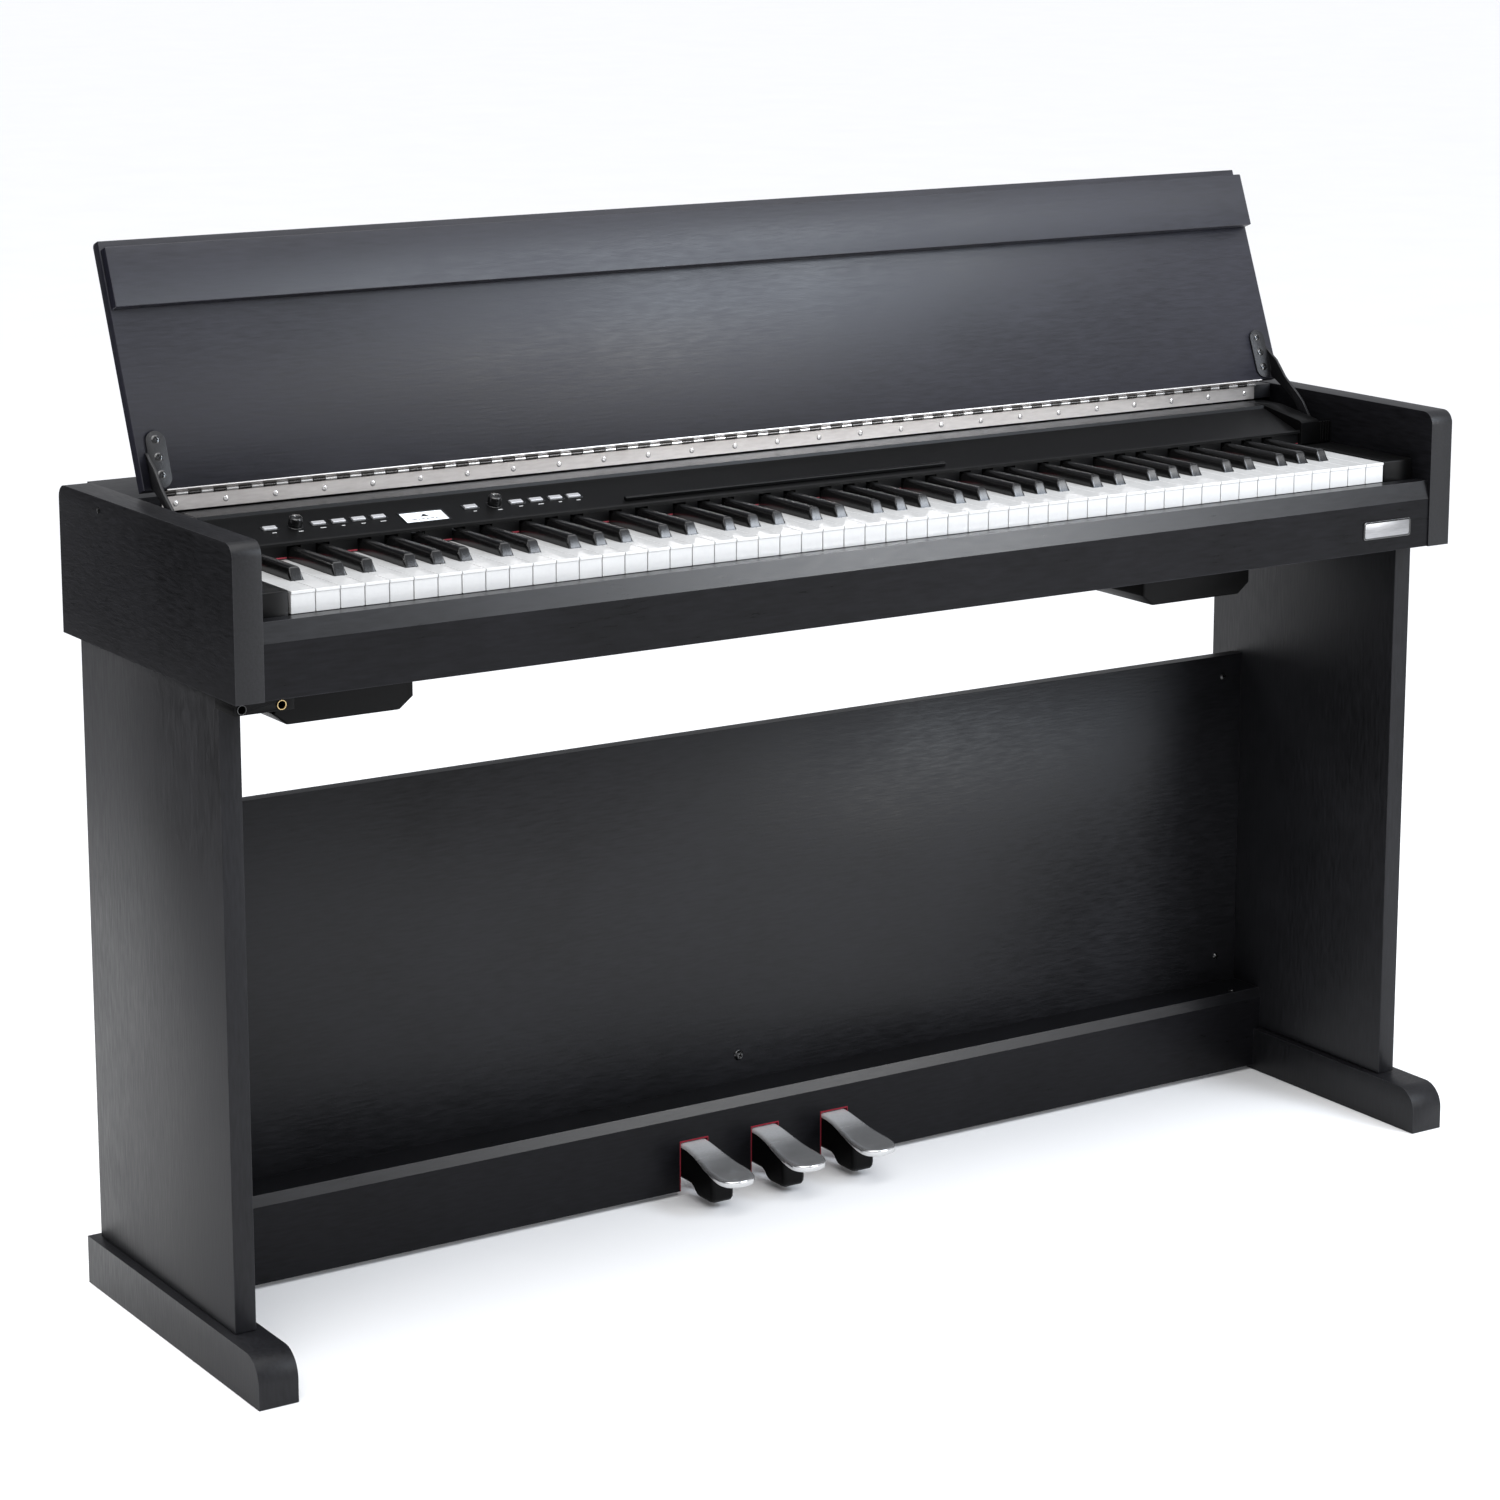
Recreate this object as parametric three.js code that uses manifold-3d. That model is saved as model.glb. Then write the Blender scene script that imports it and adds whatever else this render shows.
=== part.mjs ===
// Digital piano on its stand: 88 keys, hinged lid with a folding front flap, three pedals.
// Millimetres. +X runs along the keyboard to the player's right, +Y to the rear, +Z up.
// The origin is on the floor under the middle of the overall box.
// Depths are written from the front face of the body and moved once by FRONT_TO_ORIGIN.

import * as THREE from 'three';
import { mergeVertices } from 'three/addons/utils/BufferGeometryUtils.js';
import Module from 'manifold-3d';

// ---------- overall sizes ----------
const WIDTH = 1358;
const BODY_DEPTH = 359;
const BODY_BOTTOM = 619;
const BODY_TOP = 756;
const FRONT_TO_ORIGIN = 171.5;
const GAP = 0.3;

// ---------- cabinet boards ----------
const SIDE_THICK = 27;
const SIDE_ROUND = 13;
const INNER_X = WIDTH / 2 - SIDE_THICK;
const BOARD_X = INNER_X - GAP;
const TOP_BOARD_FRONT = 249.7;
const TOP_BOARD_THICK = 15;
const TOP_BOARD_UNDER = BODY_TOP - TOP_BOARD_THICK;
const REAR_BOARD_FRONT = 344;
const REAR_BOARD_BACK = 357;
const KEYBED_UNDER = 622;
const KEYBED_TOP = 643.7;
const SLIP_FRONT = 1.7;
const SLIP_BACK = 20;
const SLIP_BEVEL_LOW = 668;
const SLIP_BEVEL_SET = 4.6;
const SLIP_TOP = 686;

// ---------- keyboard ----------
const WHITE_COUNT = 52;
const WHITE_PITCH = 23.57;
const WHITE_GAP = 0.9;
const WHITE_FRONT = 26.5;
const WHITE_HEAD_BACK = 66.8;
const WHITE_RAIL_FRONT = 238;
const WHITE_RAIL_BACK = 262;
const WHITE_UNDER = 685;
const WHITE_TOP = 705;
const BLACK_WIDTH = 12.6;
const BLACK_CLEAR = 0.6;
const BLACK_FRONT = 68;
const BLACK_TOP_FRONT = 74;
const BLACK_BROW = [72, 715.1];
const BLACK_SHOULDER_FRONT = 68.4;
const BLACK_BACK = 222;
const BLACK_RAIL_FRONT = 204;
const BLACK_UNDER = 693;
const BLACK_RAIL_UNDER = 708;
const BLACK_SHOULDER = 706.5;
const BLACK_TOP = 716.3;
const REGISTERS = [['low', 0, 15], ['middle', 16, 36], ['high', 37, 51]];

// ---------- control panel ----------
const PANEL_X = 611.6;
const LEDGE_TOP = 740;
const LEDGE_BACK = 246;
const LEDGE_FRONT = 213;
const LIP_DROP = 3;
const SLOPE_LOW = [160, 720.5];
const SLOPE_HIGH = [212, 737];
const PANEL_THICK = 3;
const STRIP_FRONT = 154;
const STRIP_LIP = 156;
const STRIP_UNDER = 718.4;
const SLOPE = Math.atan2(SLOPE_HIGH[1] - SLOPE_LOW[1], SLOPE_HIGH[0] - SLOPE_LOW[0]);
const CONTROL_ROW = 27;
const BUTTON_X = [-554, -506, -486, -466, -446, -352, -304, -283, -262.5, -243];
const BUTTON_SIZE = [13, 5.5];
const BUTTON_RISE = 1.6;
const BUTTON_FLANGE = [16, 8.5];
const FLANGE_LOW = -6;
const FLANGE_HIGH = -4.6;
const HOLE_CLEAR = 0.8;
const HOLE_RUN = [-9, 5];
const KNOB_X = [-529, -327];
const KNOB_NAMES = ['volume_knob', 'data_knob'];
const KNOB_RADIUS = 6.4;
const KNOB_HEIGHT = 9;
const SHAFT_RADIUS = 3;
const SHAFT_CLEAR = 0.6;
const KNOB_LIFT = 0.6;
const KNOB_TAPER = 0.3;
const KNOB_EASE = 1.2;
const KNOB_GROOVE = { half: 0.6, start: 2, deep: 0.8 };
const KNOB_SIDES = 24;
const DISPLAY_X = [-425, -382];
const DISPLAY_SPAN = [9.5, 28];
const DISPLAY_SINK = 2.2;
const MUSIC_LEDGE_X = [-199, 167];
const MUSIC_LEDGE_SPAN = [5.5, 9.5];
const MUSIC_LEDGE_HEIGHT = 4;

// ---------- lid, hinge, flap and stays ----------
const OPEN_DEG = 111.5;
const HINGE_Y = 247.2;
const HINGE_Z = 757;
const HINGE_X = 628;
const KNUCKLE_OUT = 2.1;
const KNUCKLE_IN = 1.25;
const PIN_RADIUS = 0.9;
const KNUCKLES = 102;
const KNUCKLE_SIDES = 8;
const LEAF_NEAR = 1.2;
const LEAF_FAR = 2.2;
const LEAF_TOP = -2.45;
const TAB_TOP = -0.8;
const BODY_LEAF_LOW = -15.5;
const LID_LEAF_LOW = -12.8;
const LID_X = 650.5;
const LID_THICK = 12.5;
const LID_REAR = -2.5;
const LID_FRONT = -231;
const LID_TOP = -1;
const LID_EASE = 3;
const FLAP_X = 649.5;
const FLAP_AXIS_Y = -222.5;
const FLAP_HEIGHT = 55.5;
const FLAP_THICK = 11;
const STAY_PLATE_X = [622.4, 641];
const STAY_PLATE_Y = [-55, -3.5];
const STAY_PLATE_THICK = 1.6;
const STAY_ARM_X = [640.9, 643.4];
const STAY_ARM = [
  [-36, -13.9], [-28, -19.5], [-19, -26], [-10, -29.5], [1, -33.5], [11, -39.5], [22, -46.5],
  [33, -52.5], [60.9, -60.5], [79.9, -60.2], [77.2, -50.1], [52.9, -46.9], [31.4, -41.2],
  [22, -35.5], [13, -29], [6, -23], [0, -18], [-3.5, -13.9],
];

// ---------- end caps and key blocks ----------
const CAP_INNER_X = 612.2;
const CAP_SOLID_X = 636;
const CAP_FRONT = 153;
const CAP_SLOPE_FRONT = 156;
const CAP_SLOPE_Z = 731;
const CAP_UNDER = 707;
const CAP_LIP = 2;
const CAP_WALL_DROP = 3;
const CAP_WALL_BACK = 158;
const BLOCK_INNER_X = 614;
const BLOCK_FRONT = 28;
const BLOCK_BACK = 152.5;
const BLOCK_TOP = 706;

// ---------- speakers and headphone box ----------
const SPEAKER_X = [421, 562];
const SPEAKER_Y = [170, 320];
const SPEAKER_LOW = 552.6;
const SPEAKER_CHAMFER = [14, 11];
const SPEAKER_WALL = 4;
const GRILLE_RADIUS = 40;
const DRIVER_SIDES = 24;
const DRIVER_PROFILE = [
  [0, 12], [14, 12], [40, 1], [48, 0], [48, 3], [42, 5], [30, 24], [30, 42], [0, 42],
];
const MOUTH_LONG = 20;
const PHONES_X = [-677.5, -622];
const PHONES_Y = [6, 44];
const PHONES_LOW = 608.6;
const PHONES_SOCKETS = { x: [-671, -634], z: 613.7 };
const JACK_RADIUS = 3.4;
const JACK_DEPTH = 14;
const HOLE_SIDES = 16;

// ---------- stand ----------
const STAND_OUTER_X = 672.6;
const STAND_INNER_X = 652.2;
const STAND_FRONT = 48;
const STAND_BACK = 335;
const FOOT_OUTER_X = 682;
const FOOT_INNER_X = 644;
const FOOT_FRONT = -16;
const FOOT_BACK = 345;
const FOOT_HEIGHT = 46;
const FOOT_ROUND = 24;
const BACK_PANEL_Y = [285.3, 300];
const BACK_PANEL_Z = [60, 457];
const BEAM_LOW = 5;
const BEAM_TOP = 91;
const BEAM_FRONT = 240;
const BEAM_BEVEL_Y = 243.5;
const BEAM_BEVEL_Z = 80.5;
const BEAM_WALL = 17;
const BEAM_SKIN = 15;

// ---------- pedals ----------
const PEDALS = [['left_pedal', -79], ['centre_pedal', 5], ['right_pedal', 89]];
const NOTCH_HALF = 16.6;
const NOTCH_TOP = 57;
const BOOT_HALF = 13;
const PLATE_THICK = 2.8;
const PLATE_BLANK = { x: [-30, 30], z: [20, 70] };
const PLATE_CURVE = [
  [268, 54.4], [240, 54.4], [226, 53], [212, 50], [198, 46.6], [184, 44.2], [166, 42.6],
  [155, 41.4], [150, 39.2], [148, 35],
];
const PLATE_OUTLINE = [
  [-15, 268], [-15, 225], [-16.5, 205], [-19.4, 185], [-20.5, 172], [-20, 161], [-16.5, 153],
  [-9, 148.6], [0, 147.6], [9, 148.6], [16.5, 153], [20, 161], [20.5, 172], [19.4, 185],
  [16.5, 205], [15, 225], [15, 268],
];
const BOOT_PROFILE = [
  [278, 51.2], [240, 51.2], [226, 49.8], [212, 46.8], [198, 43.4], [190, 41.9], [187, 39.5],
  [185, 14], [187, 9], [192, 6.5], [214, 6.5], [218, 8.5], [223, 14.5], [230, 16], [278, 16],
];

// ---------- small fixed pieces ----------
const BADGE = { x: 596.5, z: 642.3, wide: 62, high: 18, round: 3, thick: 1 };
const FELT_Y = [157.5, 159.5];
const FELT_Z = [706, 718.1];
const FELT_BAR = 716.9;
const FELT_SLOT_LOW = 700;
const CHASSIS_X = 611;
const CHASSIS = [
  [36, 644], [335, 644], [335, 648], [264, 648], [264, 683], [248, 683], [248, 648],
  [70, 648], [70, 664], [56, 664], [56, 648], [36, 648],
];
const CIRCUIT = { x: [-200, 150], y: [290, 330], z: [648.4, 650] };
const REAR_JACKS = { x: [-420, -300], y: [357.3, 359], z: [652, 688] };
const REAR_JACK_BLOCK = { x: [-412, -308], y: [338, 357.3], z: [658, 682] };
const REAR_JACK_X = [-390, -360, -330];
const REAR_JACK_Z = 670;

// ---------- materials ----------
const surface = (color, roughness, metalness = 0) => ({ color, roughness, metalness });
const LAMINATE = surface(0x2a2a2c, 0.6);
const MOULDING = surface(0x141416, 0.42);
const KEY_WHITE = surface(0xf2f1ec, 0.22);
const KEY_BLACK = surface(0x121213, 0.38);
const FELT_RED = surface(0xa3122c, 0.95);
const NICKEL = surface(0xb9b3aa, 0.35, 1);
const CHROME = surface(0xe8e8ea, 0.08, 1);
const BLACK_STEEL = surface(0x18181a, 0.5, 0.4);
const CHASSIS_STEEL = surface(0x8d9296, 0.45, 0.9);
const BUTTON_GREY = surface(0xb4b6b8, 0.4);
const DISPLAY_LIT = surface(0xe9edf2, 0.2);
const CIRCUIT_GREEN = surface(0x1e5a37, 0.6);

const group = new THREE.Group();
const body = new THREE.Group();
body.position.y = -FRONT_TO_ORIGIN;
group.add(body);

const wasm = await Module();
wasm.setup();

// ---------- helpers ----------

/** Adds one named piece with its own material. */
function piece(parent, name, geometry, look) {
  const mesh = new THREE.Mesh(geometry, new THREE.MeshStandardMaterial(look));
  mesh.name = name;
  parent.add(mesh);
  return mesh;
}

/** A box between low and high values on each axis. */
function box([x0, x1], [y0, y1], [z0, z1]) {
  const shape = new THREE.BoxGeometry(x1 - x0, y1 - y0, z1 - z0);
  return shape.translate((x0 + x1) / 2, (y0 + y1) / 2, (z0 + z1) / 2);
}

/** A shape through a list of points. */
function outline(points) {
  return new THREE.Shape(points.map(([u, v]) => new THREE.Vector2(u, v)));
}

/** A side profile in Y and Z, run along X. */
function alongX(shape, [x0, x1]) {
  const run = new THREE.ExtrudeGeometry(shape, { depth: x1 - x0, bevelEnabled: false });
  const turn = new THREE.Matrix4().set(0, 0, 1, x0, 1, 0, 0, 0, 0, 1, 0, 0, 0, 0, 0, 1);
  return run.applyMatrix4(turn);
}

/** A plan outline in X and Y, raised along Z. */
function alongZ(shape, [z0, z1]) {
  const run = new THREE.ExtrudeGeometry(shape, { depth: z1 - z0, bevelEnabled: false });
  return run.translate(0, 0, z0);
}

/** The same span on the other side of the middle. */
function mirrored([low, high]) {
  return [-high, -low];
}

/** The span with a margin added at both ends. */
function grown([low, high], margin = GAP) {
  return [low - margin, high + margin];
}

/** A three.js geometry as a manifold solid. */
function solid(geometry) {
  const bare = geometry.clone();
  bare.deleteAttribute('normal');
  bare.deleteAttribute('uv');
  const joined = mergeVertices(bare, 0.0001);
  const mesh = new wasm.Mesh({
    numProp: 3,
    vertProperties: new Float32Array(joined.attributes.position.array),
    triVerts: new Uint32Array(joined.index.array),
  });
  mesh.merge();
  return new wasm.Manifold(mesh);
}

/** A manifold solid back as a three.js geometry with flat faces. */
function toGeometry(result) {
  const mesh = result.getMesh();
  const made = new THREE.BufferGeometry();
  made.setAttribute('position', new THREE.BufferAttribute(mesh.vertProperties, 3));
  made.setIndex(new THREE.BufferAttribute(mesh.triVerts, 1));
  const flat = made.toNonIndexed();
  flat.computeVertexNormals();
  return flat;
}

/** All the geometries joined into one body. */
function union(list) {
  const joined = list.map(solid).reduce((all, next) => all.add(next));
  return toGeometry(joined);
}

/** The first geometry with the others cut out of it. */
function cut(base, tools) {
  const left = tools.map(solid).reduce((rest, tool) => rest.subtract(tool), solid(base));
  return toGeometry(left);
}

/** A ring of points round a centre. */
function ring(sides, radius) {
  const step = (2 * Math.PI) / sides;
  return Array.from({ length: sides }, (_, i) => [
    radius * Math.cos(step * (i + 0.5)),
    radius * Math.sin(step * (i + 0.5)),
  ]);
}

// ---------- cabinet ----------

/** One side board with eased top corners, standing from the body's underside to its top. */
function sideBoardShape() {
  const shape = new THREE.Shape();
  shape.moveTo(0, BODY_BOTTOM);
  shape.lineTo(BODY_DEPTH, BODY_BOTTOM);
  shape.lineTo(BODY_DEPTH, BODY_TOP - SIDE_ROUND);
  shape.absarc(BODY_DEPTH - SIDE_ROUND, BODY_TOP - SIDE_ROUND, SIDE_ROUND, 0, Math.PI / 2);
  shape.lineTo(SIDE_ROUND, BODY_TOP);
  shape.absarc(SIDE_ROUND, BODY_TOP - SIDE_ROUND, SIDE_ROUND, Math.PI / 2, Math.PI);
  shape.lineTo(0, BODY_BOTTOM);
  return shape;
}

function addCabinet() {
  const rightSpan = [INNER_X, WIDTH / 2];
  piece(body, 'right_side_panel', alongX(sideBoardShape(), rightSpan), LAMINATE);
  piece(body, 'left_side_panel', alongX(sideBoardShape(), mirrored(rightSpan)), LAMINATE);
  const across = [-BOARD_X, BOARD_X];
  const topDepth = [TOP_BOARD_FRONT, BODY_DEPTH - 1];
  piece(body, 'top_board', box(across, topDepth, [TOP_BOARD_UNDER, BODY_TOP - 0.5]), LAMINATE);
  const rearHeight = [KEYBED_UNDER, TOP_BOARD_UNDER - GAP];
  const rearDepth = [REAR_BOARD_FRONT, REAR_BOARD_BACK];
  const block = REAR_JACK_BLOCK;
  const opening = box(grown(block.x), grown(rearDepth, 1), grown(block.z));
  piece(body, 'rear_board', cut(box(across, rearDepth, rearHeight), [opening]), LAMINATE);
  const keybed = box(across, [SLIP_BACK + GAP, REAR_BOARD_FRONT - GAP], [KEYBED_UNDER, KEYBED_TOP]);
  piece(body, 'keybed_board', keybed, LAMINATE);
  const slip = outline([
    [SLIP_FRONT, BODY_BOTTOM + GAP],
    [SLIP_BACK, BODY_BOTTOM + GAP],
    [SLIP_BACK, SLIP_TOP],
    [SLIP_FRONT + SLIP_BEVEL_SET, SLIP_TOP],
    [SLIP_FRONT, SLIP_BEVEL_LOW],
  ]);
  piece(body, 'key_slip', alongX(slip, across), LAMINATE);
}

/** The low block that closes each end of the keyboard. */
function addKeyBlocks() {
  const span = [BLOCK_INNER_X, BOARD_X];
  const depth = [BLOCK_FRONT, BLOCK_BACK];
  const height = [KEYBED_TOP + GAP, BLOCK_TOP];
  piece(body, 'left_key_block', box(mirrored(span), depth, height), MOULDING);
  piece(body, 'right_key_block', box(span, depth, height), MOULDING);
}

/** The moulded cap at each end of the panel, with a slot beside it for the lid stay. */
function endCap(side) {
  const profile = outline([
    [CAP_FRONT, CAP_UNDER],
    [LEDGE_BACK, CAP_UNDER],
    [LEDGE_BACK, LEDGE_TOP],
    [LEDGE_FRONT, LEDGE_TOP],
    [CAP_SLOPE_FRONT, CAP_SLOPE_Z],
    [CAP_FRONT, CAP_SLOPE_Z - CAP_LIP],
  ]);
  const inner = [CAP_INNER_X, CAP_SOLID_X];
  const wall = [CAP_SOLID_X - 1, BOARD_X];
  const wallHeight = [CAP_UNDER, CAP_SLOPE_Z - CAP_WALL_DROP];
  const place = side > 0 ? (span) => span : mirrored;
  return union([
    alongX(profile, place(inner)),
    box(place(wall), [CAP_FRONT, CAP_WALL_BACK], wallHeight),
  ]);
}

function addEndCaps() {
  piece(body, 'left_end_cap', endCap(-1), MOULDING);
  piece(body, 'right_end_cap', endCap(1), MOULDING);
}

// ---------- control panel ----------

/** Places a geometry made flat on the sloping panel: X across, Y up the slope, Z out of it. */
function onSlope(geometry) {
  return geometry.rotateX(SLOPE).translate(0, SLOPE_LOW[0], SLOPE_LOW[1]);
}

/** The panel moulding: hinge ledge, sloping face and the strip over the keys. */
function panelProfile() {
  const down = PANEL_THICK;
  return outline([
    [LEDGE_BACK, LEDGE_TOP],
    [LEDGE_FRONT, LEDGE_TOP],
    [SLOPE_HIGH[0], SLOPE_HIGH[1]],
    [SLOPE_LOW[0], SLOPE_LOW[1]],
    [STRIP_LIP, SLOPE_LOW[1] + 1],
    [STRIP_FRONT, SLOPE_LOW[1]],
    [STRIP_FRONT, STRIP_UNDER],
    [SLOPE_LOW[0], STRIP_UNDER],
    [SLOPE_LOW[0] + 1, SLOPE_LOW[1] - down + 1],
    [SLOPE_HIGH[0] + 1, SLOPE_HIGH[1] - down],
    [LEDGE_BACK, LEDGE_TOP - down - LIP_DROP],
  ].reverse());
}

function addControlPanel() {
  const tools = BUTTON_X.map((x) => {
    const half = (BUTTON_SIZE[0] + HOLE_CLEAR) / 2;
    const tall = (BUTTON_SIZE[1] + HOLE_CLEAR) / 2;
    return onSlope(box([x - half, x + half], [CONTROL_ROW - tall, CONTROL_ROW + tall], HOLE_RUN));
  });
  KNOB_X.forEach((x) => {
    const wide = SHAFT_RADIUS + SHAFT_CLEAR;
    const long = HOLE_RUN[1] - HOLE_RUN[0];
    const hole = new THREE.CylinderGeometry(wide, wide, long, HOLE_SIDES);
    tools.push(onSlope(hole.rotateX(Math.PI / 2).translate(x, CONTROL_ROW, 0)));
  });
  const [low, high] = DISPLAY_SPAN;
  const window = [DISPLAY_X[0] - GAP, DISPLAY_X[1] + GAP];
  tools.push(onSlope(box(window, [low - GAP, high + GAP], HOLE_RUN)));
  const panel = cut(alongX(panelProfile(), [-PANEL_X, PANEL_X]), tools);
  piece(body, 'control_panel', panel, MOULDING);
}

/** The buttons slide along the panel's normal; each cap has a wider foot under the panel. */
function addButtons() {
  BUTTON_X.forEach((x, i) => {
    const [wide, tall] = BUTTON_SIZE;
    const [footWide, footTall] = BUTTON_FLANGE;
    const cap = box([-wide / 2, wide / 2], [-tall / 2, tall / 2], [FLANGE_LOW, BUTTON_RISE]);
    const foot = box(
      [-footWide / 2, footWide / 2],
      [-footTall / 2, footTall / 2],
      [FLANGE_LOW, FLANGE_HIGH],
    );
    const button = onSlope(union([cap, foot]).translate(x, CONTROL_ROW, 0));
    piece(body, `button_${String(i + 1).padStart(2, '0')}`, button, BUTTON_GREY);
  });
}

/** A turned knob on a shaft, with a pointer groove across its edge. */
function knob() {
  const half = [
    [0, FLANGE_LOW], [SHAFT_RADIUS, FLANGE_LOW], [SHAFT_RADIUS, KNOB_LIFT],
    [KNOB_RADIUS, KNOB_LIFT], [KNOB_RADIUS - KNOB_TAPER, KNOB_HEIGHT - 1],
    [KNOB_RADIUS - KNOB_EASE, KNOB_HEIGHT], [0, KNOB_HEIGHT],
  ];
  const turned = new THREE.LatheGeometry(
    half.map(([r, h]) => new THREE.Vector2(r, h)),
    KNOB_SIDES,
  ).rotateX(Math.PI / 2);
  const { half: wide, start, deep } = KNOB_GROOVE;
  const groove = box([-wide, wide], [start, KNOB_RADIUS + 1], [KNOB_HEIGHT - deep, KNOB_HEIGHT + 1]);
  return cut(turned, [groove]);
}

function addKnobs() {
  KNOB_X.forEach((x, i) => {
    piece(body, KNOB_NAMES[i], onSlope(knob().translate(x, CONTROL_ROW, 0)), MOULDING);
  });
}

function addPanelTrim() {
  const glass = onSlope(box(DISPLAY_X, DISPLAY_SPAN, [-DISPLAY_SINK, -0.2]));
  piece(body, 'display_window', glass, DISPLAY_LIT);
  const ledge = onSlope(box(MUSIC_LEDGE_X, MUSIC_LEDGE_SPAN, [GAP, MUSIC_LEDGE_HEIGHT]));
  piece(body, 'music_ledge', ledge, MOULDING);
}

// ---------- keyboard ----------

const NOTE_OF_KEY = (index) => (index + 5) % 7; // 0 is C, 5 is A, 6 is B
const HAS_SHARP_ABOVE = [true, true, false, true, true, true, false];
const slot = BLACK_WIDTH + 2 * BLACK_CLEAR;
const tailCDE = (3 * WHITE_PITCH - 2 * slot) / 3;
const tailFGAB = (4 * WHITE_PITCH - 3 * slot) / 4;

/** The left edge of one white key. */
function whiteLeft(index) {
  return (index - WHITE_COUNT / 2) * WHITE_PITCH;
}

/** The middle of the black key to the right of a white key. */
function sharpCentre(index) {
  const note = NOTE_OF_KEY(index);
  const inLower = note < 3;
  const place = inLower ? note : note - 3;
  const tail = inLower ? tailCDE : tailFGAB;
  const start = whiteLeft(index) - place * WHITE_PITCH;
  return start + (place + 1) * tail + (place + 0.5) * slot;
}

function hasSharp(index) {
  return index >= 0 && index < WHITE_COUNT - 1 && HAS_SHARP_ABOVE[NOTE_OF_KEY(index)];
}

/** The plan of a run of white keys, joined by a rail behind the panel. */
function naturalsShape(first, last) {
  const edge = [];
  for (let i = first; i <= last; i += 1) {
    const left = whiteLeft(i) + WHITE_GAP / 2;
    const right = whiteLeft(i + 1) - WHITE_GAP / 2;
    const tailLeft = hasSharp(i - 1) ? sharpCentre(i - 1) + slot / 2 : left;
    const tailRight = hasSharp(i) ? sharpCentre(i) - slot / 2 : right;
    edge.push([tailLeft, WHITE_RAIL_FRONT]);
    if (tailLeft !== left) edge.push([tailLeft, WHITE_HEAD_BACK], [left, WHITE_HEAD_BACK]);
    edge.push([left, WHITE_FRONT], [right, WHITE_FRONT]);
    if (tailRight !== right) edge.push([right, WHITE_HEAD_BACK], [tailRight, WHITE_HEAD_BACK]);
    edge.push([tailRight, WHITE_RAIL_FRONT]);
  }
  const end = edge[edge.length - 1][0];
  edge.push([end, WHITE_RAIL_BACK], [edge[0][0], WHITE_RAIL_BACK]);
  return outline(edge);
}

/** A run of black keys, joined by a rail that passes over the white tails. */
function sharpsSolid(first, last) {
  const profile = [
    [BLACK_FRONT, BLACK_UNDER], [BLACK_BACK, BLACK_UNDER], [BLACK_BACK, BLACK_TOP],
    [BLACK_TOP_FRONT, BLACK_TOP], BLACK_BROW, [BLACK_SHOULDER_FRONT, BLACK_SHOULDER],
  ];
  const half = BLACK_WIDTH / 2;
  const centres = [];
  for (let i = first; i <= last; i += 1) {
    if (hasSharp(i)) centres.push(sharpCentre(i));
  }
  const keys = centres.map((x) => alongX(outline(profile), [x - half, x + half]));
  const rail = box(
    [centres[0] - half, centres[centres.length - 1] + half],
    [BLACK_RAIL_FRONT, BLACK_BACK],
    [BLACK_RAIL_UNDER, BLACK_TOP],
  );
  return union([rail, ...keys]);
}

function addKeys() {
  REGISTERS.forEach(([name, first, last]) => {
    const whites = alongZ(naturalsShape(first, last), [WHITE_UNDER, WHITE_TOP]);
    piece(body, `naturals_${name}`, whites, KEY_WHITE);
    piece(body, `sharps_${name}`, sharpsSolid(first, last), KEY_BLACK);
  });
}

/** Red felt along the back of the keys, with a slot for every black key. */
function addFelt() {
  const strip = box([-PANEL_X, PANEL_X], FELT_Y, FELT_Z);
  const slots = [];
  for (let i = 0; i < WHITE_COUNT; i += 1) {
    if (hasSharp(i)) {
      const x = sharpCentre(i);
      const reach = [FELT_SLOT_LOW, FELT_BAR];
      slots.push(box([x - slot / 2, x + slot / 2], grown(FELT_Y, 1), reach));
    }
  }
  piece(body, 'felt_strip', cut(strip, slots), FELT_RED);
}

function addInnerPieces() {
  const chassis = alongX(outline(CHASSIS), [-CHASSIS_X, CHASSIS_X]);
  piece(body, 'key_chassis', chassis, CHASSIS_STEEL);
  piece(body, 'circuit_board', box(CIRCUIT.x, CIRCUIT.y, CIRCUIT.z), CIRCUIT_GREEN);
  const plate = box(REAR_JACKS.x, REAR_JACKS.y, REAR_JACKS.z);
  const block = box(REAR_JACK_BLOCK.x, [REAR_JACK_BLOCK.y[0], REAR_JACKS.y[1]], REAR_JACK_BLOCK.z);
  const holes = REAR_JACK_X.map((x) => socketHole(x, REAR_JACKS.y[1], REAR_JACK_Z));
  piece(body, 'rear_jack_plate', cut(union([plate, block]), holes), MOULDING);
}

// ---------- lid ----------

const lid = new THREE.Group();
lid.position.set(0, HINGE_Y, HINGE_Z);
lid.rotation.x = THREE.MathUtils.degToRad(-OPEN_DEG);
body.add(lid);

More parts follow.
